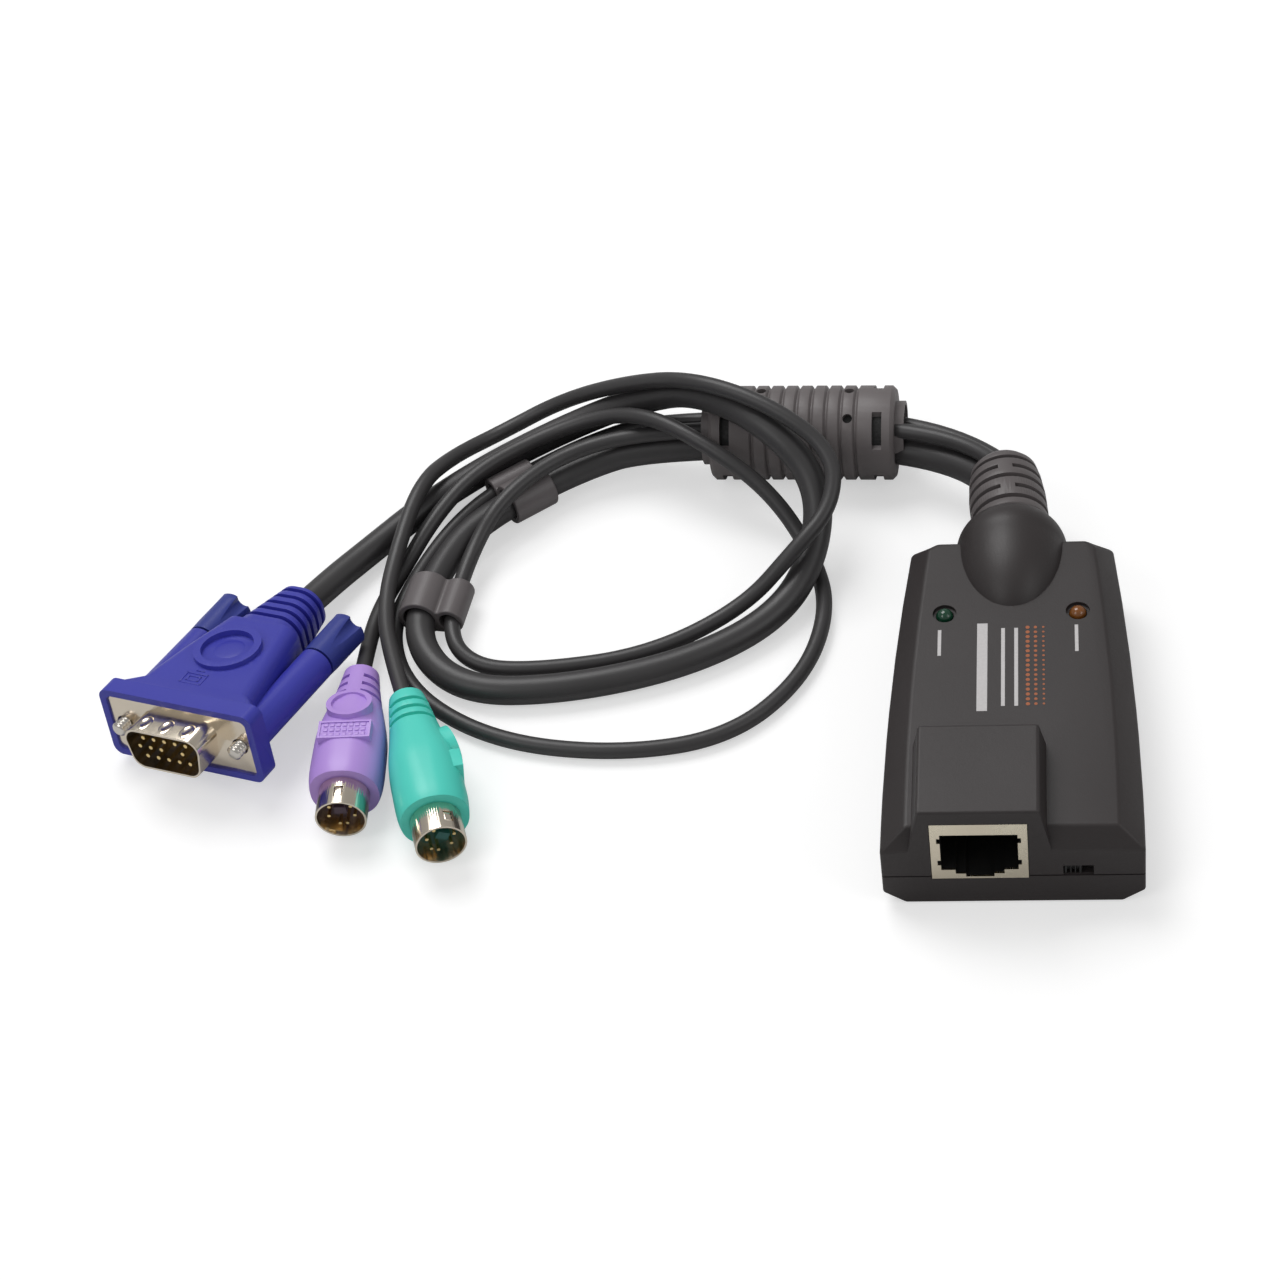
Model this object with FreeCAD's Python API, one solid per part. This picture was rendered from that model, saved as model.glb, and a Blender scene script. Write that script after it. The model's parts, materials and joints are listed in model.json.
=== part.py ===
"""Keyboard, video and mouse adapter on a looped lead: module, cords, choke, clips and plugs.

Millimetres, +Z up. The module lies flat on z = 0 with its network socket towards -Y and its cord
end towards +Y; the origin is under the middle of the module and its strain relief.
Sub-parts of the module are drawn with y measured from its front face and moved into place last.
"""
import FreeCAD, Part
import math
import os
from FreeCAD import Placement, Rotation, Vector

# ---------------------------------------------------------------- driving dimensions
MODULE_LENGTH = 91.4            # front face to the end of the strain relief
MODULE_SHIFT = Vector(0, -MODULE_LENGTH / 2, 0)

SEAM_Z = 7.0                    # parting line of the two shells
FOOT_Z, BELT_LOW_Z, BELT_TOP_Z, CROWN_Z = 0.0, 2.7, 13.1, 17.0
WALL = 1.8

# plan outlines: front half width, middle, rear, front y, rear y, corner half width, corner y
FOOT_PLAN = (18.1, 17.2, 14.6, 0.0, 68.2, 12.0, 70.0)
BELT_PLAN = (21.8, 20.9, 18.0, 0.0, 69.5, 14.5, 71.3)
CROWN_PLAN = (17.6, 17.0, 14.6, 2.3, 67.0, 13.0, 68.3)

BLOCK_X, BLOCK_TOP_Z = (-16.5, 5.8), 23.0
BLOCK_REAR_Y, BLOCK_DRAFT = 20.5, 1.1

BOSS_Z, BOSS_RADIUS = 13.2, 9.8           # cable boss: height of its axis, its widest radius
BOSS_NOSE_Y, BOSS_WIDEST_Y, BOSS_END_Y = 51.2, 68.0, 74.2
BOSS_END_RADIUS = 7.9
BOSS_NECK_RADIUS = 6.0

JACK_X, JACK_Z, JACK_DEPTH = (-13.4, 2.6), (6.3, 19.9), 17.4
JACK_SHEET = 0.35
SOCKET_WIDTH, SOCKET_Z = 12.3, (10.6, 18.2)
KEYWAY_STEPS = ((8.4, 9.2), (5.0, 7.7))   # width and floor height of each step
NOTCH_WIDTH, NOTCH_SPANS = 13.7, ((15.4, 17.4), (12.0, 13.4))
SOCKET_DEPTH = 13.6
CONTACTS, CONTACT_PITCH, CONTACT_RADIUS = 8, 1.02, 0.22

BOARD_X, BOARD_Y, BOARD_Z = (-16.0, 16.0), (2.4, 62.5), (4.7, 6.3)
SWITCH_SLOT_X, SWITCH_SLOT_Z = (8.3, 13.3), (7.0, 9.3)
SLIDER_X, SLIDER_GAP = (8.5, 11.3), 0.2

LAMP_SITES = ((-11.6, 51.0), (11.5, 51.1))
LAMP_RADIUS, LAMP_BASE_Z, LAMP_SHOULDER_Z = 1.5, 12.4, 16.2
SCREW_SITES = ((-12.0, 60.5), (12.0, 60.5))
POST_SITES = ((-13.6, 24.0), (13.6, 24.0), (-13.6, 8.0), (13.6, 8.0))

RELIEF_RADIUS, RELIEF_LEAN = 7.0, 5.3     # strain relief; its lean to the left in degrees
RELIEF_SLOT_STEP = 2.7

VIDEO_DIAMETER, THIN_DIAMETER = 5.4, 3.0

CHOKE_END, CHOKE_TURN, CHOKE_LENGTH = Vector(-20.0, 60.9, 8.9), 177.75, 38.2
CHOKE_RADIUS, COLLAR_RADIUS, CHOKE_BORE = 8.9, 6.0, 5.3
GROOVES, FIRST_GROOVE, GROOVE_PITCH = 8, 8.9, 2.77
CORE_INNER, CORE_OUTER, CORE_SPAN = 5.9, 7.8, (3.6, 34.6)
WINDOW_FLOOR = 7.5              # windows are cut to inside the core's surface, so they open onto it

CLIP_LENGTH = 9.0
CLIP_WIDE, CLIP_THIN, CLIP_AXIS_Z = 4.0, 2.8, 4.0    # lobe radii round each cord, height of the thick one
VIDEO_PLUG = Placement(Vector(-146.4, -14.7, 10.9),
                       Rotation(Vector(0, 0, 1), -22) * Rotation(Vector(1, 0, 0), -9)
                       * Rotation(Vector(0, 1, 0), -7))
KEYBOARD_PLUG = Placement(Vector(-116.1, -31.2, 6.5), Rotation(Vector(0, 0, 1), 1.6))
MOUSE_PLUG = Placement(Vector(-97.5, -37.6, 6.9), Rotation(Vector(0, 0, 1), 17.0)
                       * Rotation(Vector(0, 1, 0), 30))

SCREW_HALF_PITCH = 12.495       # between the video plug's middle and a thumbscrew
THREAD_RADIUS, THREAD_REACH = 1.42, 2.4
KNOB_RADIUS, KNOB_SPAN = 3.7, (26.0, 36.4)
BARREL_RADIUS = 3.3
HOOD_TAIL, TAIL_RIBS = 41.0, 5
CAN_RADIUS, CAN_REACH = 4.55, 5.8         # round plug: metal can outside its boot
CAN_NECK, CAN_DEPTH = 4.3, 9.0

# ---------------------------------------------------------------- cord routes, plug end last
VIDEO_ROUTE = [
    (-4.2, 43.7, 11.8), (-13, 59.6, 6.9), (-68.5, 61.6, 6.9), (-83, 58.8, 3.9), (-100.7, 45.3, 3.9),
    (-107, 32.3, 3.9), (-109.8, 14.4, 3.9), (-99.6, 2.1, 2.8), (-80, 2, 2.8), (-58, 8.1, 2.8),
    (-42.5, 18.8, 3.2), (-36, 31.8, 6), (-35.3, 43.3, 13.5), (-44.5, 51, 21.2), (-58.5, 61.6, 20.7),
    (-71, 68.4, 12.6), (-85, 69.9, 5), (-100, 61.8, 2.8), (-112, 50.3, 2.8), (-121, 38.8, 2.8),
    (-127.5, 29.3, 3.7), (-131.9, 21, 4.8)]
KEYBOARD_ROUTE = [
    (0.9, 43.7, 13.8), (-10.5, 63.4, 10), (-66, 65.7, 9.9), (-80, 67.9, 3.2), (-93, 59.3, 2.8),
    (-104, 49.3, 2.2), (-111.4, 33.9, 1.6), (-115, 17.8, 1.6), (-108.5, 2.3, 1.6), (-92, -9.2, 1.6),
    (-70, -12.7, 1.6), (-50, -9.2, 1.6), (-37.5, 4.8, 1.6), (-33.5, 21.8, 1.6), (-37, 36.3, 1.6),
    (-45, 45.8, 9.3), (-57, 52.3, 15.6), (-68, 59.8, 16.2), (-78, 65.6, 11.2), (-90, 64.3, 7.5),
    (-102, 55.6, 7), (-109.2, 45.8, 4.6), (-114.3, 34.8, 1.6), (-117.6, 24, 1.6), (-118.2, 13.5, 2.4),
    (-117.1, -0.2, 6.5)]
MOUSE_ROUTE = [
    (-2.6, 43.7, 16.1), (-10.5, 58.9, 12.2), (-65, 61, 11.5), (-83.5, 58.3, 9.6), (-95.5, 45.8, 9.5),
    (-101.5, 34.8, 4.2), (-103.5, 15.8, 3.9), (-98, 9, 1.8), (-86, 8, 1.6), (-66, 11.3, 1.6),
    (-49, 21.3, 3.2), (-39.5, 27.8, 11), (-32.5, 35.8, 14.5), (-32.3, 44.8, 19.6), (-44, 51.8, 25.4),
    (-59, 59.2, 25.8), (-72.5, 67.9, 17.4), (-87, 75.1, 7), (-99.5, 71.4, 2.2), (-107.5, 62, 5),
    (-111.8, 50.3, 9.2), (-115, 36.3, 5.6), (-115.8, 22.8, 4.9), (-113.2, 10, 5.4), (-107.4, -5.9, 6.9)]


# ---------------------------------------------------------------- shared shapes
def box(x, y, z):
    """Block between two values on each axis."""
    return Part.makeBox(x[1] - x[0], y[1] - y[0], z[1] - z[0], Vector(x[0], y[0], z[0]))


def rod(radius, start, end):
    """Cylinder between two points."""
    first = Vector(*start)
    axis = Vector(*end) - first
    return Part.makeCylinder(radius, axis.Length, first, axis)


def post(radius, site, z):
    """Upright cylinder at an (x, y) site between two heights."""
    return rod(radius, (site[0], site[1], z[0]), (site[0], site[1], z[1]))


def joined(shapes):
    """One clean solid from several that touch."""
    return shapes[0].fuse(shapes[1:]).removeSplitter()


def centred(width, middle=0.0):
    """Pair of values that lie half a width either side of the middle."""
    return middle - width / 2, middle + width / 2


def corner_bend(before, corner, after, trim):
    """Start, middle, end and radius of the tangent arc that rounds one corner."""
    back = (before - corner).normalize()
    ahead = (after - corner).normalize()
    half = back.getAngle(ahead) / 2
    inward = (back + ahead).normalize()
    radius = trim * math.tan(half)
    middle = corner + inward * (trim / math.cos(half) - radius)
    return corner + back * trim, middle, corner + ahead * trim, radius


def rounded_polygon(points, radius):
    """Closed wire through the points, with every corner rounded to one radius."""
    count = len(points)
    edges = []
    bends = []
    for i in range(count):
        before, corner, after = points[i - 1], points[i], points[(i + 1) % count]
        half = (before - corner).getAngle(after - corner) / 2
        bends.append(corner_bend(before, corner, after, radius / math.tan(half)))
    for i in range(count):
        start, middle, end, _ = bends[i]
        edges.append(Part.Arc(start, middle, end).toShape())
        edges.append(Part.LineSegment(end, bends[(i + 1) % count][0]).toShape())
    return Part.Wire(edges)


def rounded_rectangle(width, height, radius, y=0.0, z=0.0):
    """Upright rounded rectangle, facing along Y."""
    left, right = centred(width)
    low, high = centred(height, z)
    corners = [Vector(left, y, low), Vector(right, y, low), Vector(right, y, high), Vector(left, y, high)]
    return rounded_polygon(corners, radius)


def pushed(wire, depth):
    """Solid from a facing wire, pushed along +Y."""
    return Part.Face(wire).extrude(Vector(0, depth, 0))


def revolved(points, centre, axis):
    """Solid of revolution from a closed profile of straight sides."""
    outline = Part.makePolygon([Vector(*p) for p in points] + [Vector(*points[0])])
    return Part.Face(outline).revolve(Vector(*centre), Vector(*axis), 360)


def ring(inner, outer, y):
    """Flat ring about the Y axis between two values of y."""
    return rod(outer, (0, y[0], 0), (0, y[1], 0)).cut(rod(inner, (0, y[0] - 1, 0), (0, y[1] + 1, 0)))


def cord(name, route, diameter):
    """Round cord along straight runs joined by the largest tangent arcs that fit."""
    points = [Vector(*p) for p in route]
    edges = []
    radii = []
    reached = points[0]
    for i in range(1, len(points) - 1):
        shorter = min((points[i] - points[i - 1]).Length, (points[i + 1] - points[i]).Length)
        start, middle, end, radius = corner_bend(points[i - 1], points[i], points[i + 1], 0.45 * shorter)
        edges.append(Part.LineSegment(reached, start).toShape())
        edges.append(Part.Arc(start, middle, end).toShape())
        radii.append(round(radius, 1))
        reached = end
    edges.append(Part.LineSegment(reached, points[-1]).toShape())
    path = Part.Wire(edges)
    circle = Part.Circle(points[0], points[1] - points[0], diameter / 2)
    tube = path.makePipeShell([Part.Wire(circle.toShape())], True, False)
    ideal = math.pi * diameter ** 2 / 4 * path.Length
    print(name, "length", round(path.Length, 1), "volume ratio", round(tube.Volume / ideal, 4), "radii", radii)
    return tube


# ---------------------------------------------------------------- module: shells
def plan(outline, z, inset=0.0):
    """Plan outline at one height: straight front, bowed sides and clipped rear corners."""
    front, middle, rear, front_y, rear_y, corner, corner_y = outline
    front, middle, rear, corner = [half - inset for half in (front, middle, rear, corner)]
    front_y, rear_y, corner_y = front_y + inset, rear_y - inset, corner_y - inset
    middle_y = (front_y + rear_y) / 2
    right = Part.Arc(Vector(front, front_y, z), Vector(middle, middle_y, z), Vector(rear, rear_y, z))
    left = Part.Arc(Vector(-rear, rear_y, z), Vector(-middle, middle_y, z), Vector(-front, front_y, z))
    back = [Vector(rear, rear_y, z), Vector(corner, corner_y, z), Vector(-corner, corner_y, z), Vector(-rear, rear_y, z)]
    edges = [right.toShape()]
    edges += [Part.LineSegment(a, b).toShape() for a, b in zip(back, back[1:])]
    edges += [left.toShape(), Part.LineSegment(Vector(-front, front_y, z), Vector(front, front_y, z)).toShape()]
    return Part.Wire(edges)


def case_block(inset=0.0):
    """Faceted case body without its block and boss; an inset gives the space inside it."""
    low_belt = plan(BELT_PLAN, BELT_LOW_Z + inset * 0.4, inset)
    high_belt = plan(BELT_PLAN, BELT_TOP_Z - inset * 0.4, inset)
    foot = Part.makeLoft([plan(FOOT_PLAN, FOOT_Z + inset, inset), low_belt], True, True)
    belt = Part.makeLoft([low_belt, high_belt], True, True)
    crown = Part.makeLoft([high_belt, plan(CROWN_PLAN, CROWN_Z - inset, inset)], True, True)
    return joined([foot, belt, crown])


def jack_block(inset=0.0):
    """Raised block over the jack, narrower at the top than at its base."""
    base_z = BELT_TOP_Z
    top_z = BLOCK_TOP_Z - inset
    draft = BLOCK_DRAFT * (BLOCK_TOP_Z - base_z) / (BLOCK_TOP_Z - CROWN_Z)
    wires = []
    for z, grow in ((base_z, draft - BLOCK_DRAFT), (top_z, -BLOCK_DRAFT)):
        left, right = BLOCK_X[0] - grow + inset, BLOCK_X[1] + grow - inset
        front, rear = inset, BLOCK_REAR_Y + grow - inset
        corners = [(left, front), (right, front), (right, rear), (left, rear), (left, front)]
        wires.append(Part.makePolygon([Vector(x, y, z) for x, y in corners]))
    return Part.makeLoft(wires, True, True)


def cable_boss(inset=0.0):
    """Bullet-shaped boss that the cords leave through: an elliptical nose and a rounded tail."""
    radius = BOSS_RADIUS - inset
    nose_y, end = BOSS_NOSE_Y + inset, BOSS_END_Y - inset
    end_radius = BOSS_END_RADIUS - inset
    centre = Vector(0, BOSS_WIDEST_Y, BOSS_Z)
    widest = centre + Vector(0, 0, radius)
    tip = Vector(0, nose_y, BOSS_Z)
    ellipse = Part.Ellipse(tip, widest, centre)
    nose = Part.ArcOfEllipse(ellipse, *sorted((ellipse.parameter(tip), ellipse.parameter(widest))))
    shoulder_y = BOSS_WIDEST_Y + 0.68 * (end - BOSS_WIDEST_Y)
    shoulder = Vector(0, shoulder_y, BOSS_Z + end_radius + 0.72 * (radius - end_radius))
    tail = Part.Arc(widest, shoulder, Vector(0, end, BOSS_Z + end_radius))
    closing = [Vector(0, end, BOSS_Z + end_radius), Vector(0, end, BOSS_Z), tip]
    edges = [nose.toShape(), tail.toShape()]
    edges += [Part.LineSegment(a, b).toShape() for a, b in zip(closing, closing[1:])]
    return Part.Face(Part.Wire(Part.__sortEdges__(edges))).revolve(Vector(0, 0, BOSS_Z), Vector(0, 1, 0), 360)


def case_wall():
    """Closed hollow case, before it is split at the seam."""
    outside = joined([case_block(), jack_block(), cable_boss()])
    inside = joined([case_block(WALL), jack_block(WALL), cable_boss(WALL)])
    wall = outside.cut(inside)
    jack_hole = box((JACK_X[0] - 0.1, JACK_X[1] + 0.1), (-1, WALL + 1), (JACK_Z[0] - 0.1, JACK_Z[1] + 0.1))
    neck_hole = rod(BOSS_NECK_RADIUS, (0, BOSS_END_Y - 5, BOSS_Z), (0, BOSS_END_Y + 1, BOSS_Z))
    return wall.cut([jack_hole, neck_hole])


def top_shell(wall):
    """Upper shell, with the lamp holes, the switch slot and the upper screw bosses."""
    shell = wall.common(box((-40, 40), (-5, 90), (SEAM_Z, 40)))
    bosses = [post(2.4, site, (SEAM_Z + 0.1, CROWN_Z - WALL)) for site in SCREW_SITES]
    shell = joined([shell] + bosses)
    cuts = [box(SWITCH_SLOT_X, (-1, WALL + 1), SWITCH_SLOT_Z)]
    cuts += [post(1.0, site, (SEAM_Z, CROWN_Z - 2 * WALL)) for site in SCREW_SITES]
    for site in LAMP_SITES:
        cuts.append(post(LAMP_RADIUS + 0.1, site, (LAMP_BASE_Z, CROWN_Z + 1)))
        cuts.append(post(2.1, site, (CROWN_Z - 0.6, CROWN_Z + 1)))
    return shell.cut(cuts)


def bottom_shell(wall):
    """Lower shell, with a seam rebate, board posts and countersunk screw bosses."""
    shell = wall.common(box((-40, 40), (-5, 90), (-1, SEAM_Z)))
    posts = [post(1.8, site, (WALL, BOARD_Z[0])) for site in POST_SITES]
    posts += [post(2.6, site, (WALL, SEAM_Z - 0.1)) for site in SCREW_SITES]
    shell = joined([shell] + posts)
    rebate_z = (SEAM_Z - 0.3, SEAM_Z)
    rebate = Part.Face(plan(BELT_PLAN, rebate_z[0], -1.0)).extrude(Vector(0, 0, 0.3))
    rebate = rebate.cut(Part.Face(plan(BELT_PLAN, rebate_z[0], 0.35)).extrude(Vector(0, 0, 0.3)))
    rebate = rebate.cut(box((-14, 14), (BELT_PLAN[4] - 2, 90), rebate_z))
    cuts = [rebate]
    for site in SCREW_SITES:
        cuts.append(post(1.3, site, (-1, SEAM_Z)))
        cuts.append(post(2.3, site, (-1, 1.6)))
    return shell.cut(cuts)


def strain_relief():
    """Ribbed sleeve at the cord end, held in the boss by a flange behind its neck."""
    flange = rod(6.6, (0, BOSS_END_Y - 4.8, 0), (0, BOSS_END_Y - 3.0, 0))
    neck = rod(BOSS_NECK_RADIUS, (0, BOSS_END_Y - 3.0, 0), (0, BOSS_END_Y + 1.2, 0))
    length = MODULE_LENGTH - BOSS_END_Y - 0.4
    body = revolved([(0, 0.65, 0), (6.6, 0.65, 0), (RELIEF_RADIUS, 1.2, 0), (RELIEF_RADIUS, 8.5, 0),
                     (6.6, 13.0, 0), (6.1, 15.6, 0), (5.2, length, 0), (0, length, 0)], (0, 0, 0), (0, 1, 0))
    slots = []
    for i in range(5):
        y = 2.5 + i * RELIEF_SLOT_STEP
        slot = ring(5.5, 9.0, (y, y + 1.0))
        if i % 2 == 1:
            slot = slot.cut(box((-1.3, 1.3), (y - 1, y + 2), (-10, 10)))
        slots.append(slot)
    body = body.cut(slots)
    body.rotate(Vector(0, 0, 0), Vector(0, 0, 1), RELIEF_LEAN)
    body.translate(Vector(0, BOSS_END_Y, 0))
    sleeve = joined([flange, neck, body])
    sleeve.translate(Vector(0, 0, BOSS_Z))
    return sleeve


# ---------------------------------------------------------------- module: socket and board
def socket_space(y):
    """Space for the network plug: the main opening and the stepped latch keyway."""
    middle = sum(JACK_X) / 2
    spaces = [box(centred(SOCKET_WIDTH, middle), y, SOCKET_Z)]
    for width, floor in KEYWAY_STEPS:
        spaces.append(box(centred(width, middle), y, (floor, SOCKET_Z[0])))
    for span in NOTCH_SPANS:
        spaces.append(box(centred(NOTCH_WIDTH, middle), y, span))
    return joined(spaces)


def jack_shield():
    """Folded sheet round the jack, open underneath behind the face."""
    inner = box((JACK_X[0] + JACK_SHEET, JACK_X[1] - JACK_SHEET), (JACK_SHEET, JACK_DEPTH - JACK_SHEET),
                (JACK_Z[0] - 1, JACK_Z[1] - JACK_SHEET))
    return box(JACK_X, (0, JACK_DEPTH), JACK_Z).cut([inner, socket_space((-1, 1))])


def jack_contacts():
    """Eight spring wires that slope down towards the back of the socket."""
    middle = sum(JACK_X) / 2
    wires = []
    for i in range(CONTACTS):
        x = middle + (i - (CONTACTS - 1) / 2) * CONTACT_PITCH
        wires.append(rod(CONTACT_RADIUS, (x, 6.0, SOCKET_Z[1] + 0.2), (x, SOCKET_DEPTH + 0.8, 12.6)))
    return Part.makeCompound(wires)


def jack_insert(contacts):
    """Moulded block inside the shield, with the socket and a seat for each wire."""
    block = box((JACK_X[0] + JACK_SHEET, JACK_X[1] - JACK_SHEET), (JACK_SHEET, JACK_DEPTH - JACK_SHEET),
                (JACK_Z[0], JACK_Z[1] - JACK_SHEET))
    return block.cut([socket_space((-1, SOCKET_DEPTH)), contacts])


def circuit_board():
    """Board with clearance round the two screw bosses."""
    holes = [post(2.8, site, (BOARD_Z[0] - 1, BOARD_Z[1] + 1)) for site in SCREW_SITES]
    return box(BOARD_X, BOARD_Y, BOARD_Z).cut(holes)


def switch_frame():
    """Metal can of the slide switch, open in front."""
    can = box((7.2, 14.4), (2.0, 5.8), (BOARD_Z[1], 10.1))
    return can.cut(box((7.9, 13.7), (1, 4.0), (6.9, 9.4)))


def switch_slider():
    """Actuator with a toothed face and a wider foot inside the can."""
    foot = box((SLIDER_X[0] - 0.3, SLIDER_X[1] + 0.3), (2.1, 3.9), (7.0, 9.3))
    nose = box(SLIDER_X, (SLIDER_GAP, 2.1), (7.2, 9.1))
    grooves = [box(centred(0.5, x), (-1, SLIDER_GAP + 0.7), (6, 10)) for x in (9.15, 9.9, 10.65)]
    return joined([foot, nose]).cut(grooves)


def indicator(site):
    """Round lamp with a flange below its body and a domed tip."""
    x, y = site
    flange = post(LAMP_RADIUS + 0.4, site, (LAMP_BASE_Z, LAMP_BASE_Z + 1.0))
    body = post(LAMP_RADIUS, site, (LAMP_BASE_Z, LAMP_SHOULDER_Z))
    tip = Part.makeSphere(LAMP_RADIUS, Vector(x, y, LAMP_SHOULDER_Z), Vector(0, 0, 1), 0, 90, 360)
    return joined([flange, body, tip])


def indicator_leads():
    """Two square legs from the board to each lamp."""
    legs = []
    for x, y in LAMP_SITES:
        for side in (-1.27, 1.27):
            legs.append(box(centred(0.5, x + side), centred(0.5, y), (BOARD_Z[1], LAMP_BASE_Z)))
    return Part.makeCompound(legs)


def chip(middle, size, legs, leg_sides):
    """Flat package with a row of legs on two or four sides."""
    x, y = middle
    top = BOARD_Z[1]
    package = box(centred(size[0], x), centred(size[1], y), (top + 0.2, top + 1.7))
    pieces = [package]
    for i in range(legs):
        step = (i - (legs - 1) / 2) * (size[1] - 1.0) / (legs - 1)
        for side in (-1, 1):
            near, far = sorted((x + side * size[0] / 2, x + side * (size[0] / 2 + 0.9)))
            pieces.append(box((near, far), centred(0.3, y + step), (top, top + 0.6)))
            if leg_sides == 4:
                near, far = sorted((y + side * size[1] / 2, y + side * (size[1] / 2 + 0.9)))
                pieces.append(box(centred(0.3, x + step), (near, far), (top, top + 0.6)))
    return joined(pieces)


def crystal():
    """Low oval can beside the main chip."""
    outline = rounded_polygon([Vector(-14.0, 30.0, 0), Vector(-9.5, 30.0, 0), Vector(-9.5, 40.5, 0),
                               Vector(-14.0, 40.5, 0)], 2.2)
    can = Part.Face(outline).extrude(Vector(0, 0, 3.4))
    can.translate(Vector(0, 0, BOARD_Z[1]))
    return can


def capacitors():
    """Three upright cans on the right of the board."""
    sites = ((12.5, 30.0), (12.5, 36.0), (12.5, 42.0))
    return Part.makeCompound([post(2.2, site, (BOARD_Z[1], BOARD_Z[1] + 5.4)) for site in sites])


def cable_header():
    """Open-topped plug header at the cord end of the board."""
    shroud = box(centred(15.0), (56.2, 61.2), (BOARD_Z[1], BOARD_Z[1] + 5.0))
    return shroud.cut(box(centred(13.4), (57.0, 60.4), (BOARD_Z[1] + 1.4, 20)))


def housing_screws():
    """Two pan-head screws that close the case from below."""
    screws = []
    for x, y in SCREW_SITES:
        head = post(2.1, (x, y), (0.3, 1.6))
        shank = post(1.0, (x, y), (1.6, CROWN_Z - 2 * WALL - 0.4))
        slots = [box(centred(w, x), centred(d, y), (-1, 0.9)) for w, d in ((2.4, 0.6), (0.6, 2.4))]
        screws.append(joined([head, shank]).cut(slots))
    return Part.makeCompound(screws)


# ---------------------------------------------------------------- choke and clips
def choke_moulding():
    """Ribbed cover over the core, with pairs of round holes and four windows at each end."""
    ends = (1.7, CHOKE_LENGTH - 1.7)
    bevel = 0.7
    shallow = CHOKE_RADIUS - 0.6
    profile = [(0, 0, CHOKE_BORE), (0, 0, COLLAR_RADIUS), (ends[0], 0, COLLAR_RADIUS),
               (ends[0], 0, CHOKE_RADIUS - bevel), (ends[0] + bevel, 0, CHOKE_RADIUS)]
    for i in range(GROOVES):
        s = FIRST_GROOVE + i * GROOVE_PITCH
        profile += [(s - 0.5, 0, CHOKE_RADIUS), (s - 0.12, 0, shallow), (s + 0.12, 0, shallow), (s + 0.5, 0, CHOKE_RADIUS)]
    profile += [(ends[1] - bevel, 0, CHOKE_RADIUS), (ends[1], 0, CHOKE_RADIUS - bevel),
                (ends[1], 0, COLLAR_RADIUS), (CHOKE_LENGTH, 0, COLLAR_RADIUS), (CHOKE_LENGTH, 0, CHOKE_BORE)]
    body = revolved(profile, (0, 0, 0), (1, 0, 0))
    cuts = [ferrite_ring()]
    for s in (4.8, 33.4):
        window = rod(CHOKE_RADIUS + 1, (s - 0.9, 0, 0), (s + 0.9, 0, 0))
        window = window.cut(rod(WINDOW_FLOOR, (s - 2, 0, 0), (s + 2, 0, 0)))
        for i in range(2):
            bar = box((s - 2, s + 2), centred(6.6), (-20, 20))
            bar.rotate(Vector(0, 0, 0), Vector(1, 0, 0), 90 * i)
            window = window.cut(bar)
        cuts.append(window)
    for s in (FIRST_GROOVE + GROOVE_PITCH / 2, FIRST_GROOVE + (GROOVES - 1.5) * GROOVE_PITCH):
        for angle in (60, 105, 240, 285):
            side, up = math.cos(math.radians(angle)), math.sin(math.radians(angle))
            outer, inner = CHOKE_RADIUS + 1, WINDOW_FLOOR
            cuts.append(rod(0.9, (s, side * inner, up * inner), (s, side * outer, up * outer)))
    return body.cut(cuts)


def ferrite_ring():
    """Plain ring of the ferrite core."""
    first, last = CORE_SPAN
    return rod(CORE_OUTER, (first, 0, 0), (last, 0, 0)).cut(rod(CORE_INNER, (first - 1, 0, 0), (last + 1, 0, 0)))


def on_choke(shape):
    """Move a shape drawn along +X to the choke's place."""
    shape.rotate(Vector(0, 0, 0), Vector(0, 0, 1), CHOKE_TURN)
    shape.translate(CHOKE_END)
    return shape


def cable_clip(middle, heading, wide_x, thin_x, thin_z):
    """Clip for one thick and one thin cord, lying on the table across the cords."""
    y = (-CLIP_LENGTH / 2, CLIP_LENGTH / 2)
    top = thin_z + CLIP_THIN - 0.6
    lobes = [rod(CLIP_WIDE, (wide_x, y[0], CLIP_AXIS_Z), (wide_x, y[1], CLIP_AXIS_Z)),
             rod(CLIP_THIN, (thin_x, y[0], thin_z), (thin_x, y[1], thin_z)),
             box(sorted((wide_x, thin_x)), y, (1.2, top))]
    holes = [rod(VIDEO_DIAMETER / 2 + 0.25, (wide_x, y[0] - 1, CLIP_AXIS_Z), (wide_x, y[1] + 1, CLIP_AXIS_Z)),
             rod(THIN_DIAMETER / 2 + 0.3, (thin_x, y[0] - 1, thin_z), (thin_x, y[1] + 1, thin_z))]
    clip = joined(lobes).cut(holes)
    clip.rotate(Vector(0, 0, 0), Vector(0, 0, 1), heading + 90)
    clip.translate(Vector(*middle))
    return clip


# ---------------------------------------------------------------- video plug, mating towards local -Y
def shell_outline(half_top, height, radius, y):
    """D-shaped outline, wider at the top, with sides leaning ten degrees."""
    lean = height * math.tan(math.radians(10))
    corners = [Vector(-half_top + lean, y, -height / 2), Vector(half_top - lean, y, -height / 2),
               Vector(half_top, y, height / 2), Vector(-half_top, y, height / 2)]
    return rounded_polygon(corners, radius)


def video_shell():
    """Drawn metal shell with its flange, bored for the two thumbscrews."""
    flange = pushed(rounded_rectangle(30.0, 11.8, 1.2, 0.0), 0.8)
    flange = flange.cut([rod(1.6, (x, -1, 0), (x, 2, 0)) for x in (-SCREW_HALF_PITCH, SCREW_HALF_PITCH)])
    drawn = pushed(shell_outline(8.46, 8.36, 2.6, -5.9), 6.0)
    shell = joined([flange, drawn])
    return shell.cut(pushed(shell_outline(8.06, 7.56, 2.3, -7.0), 9.0))


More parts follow.
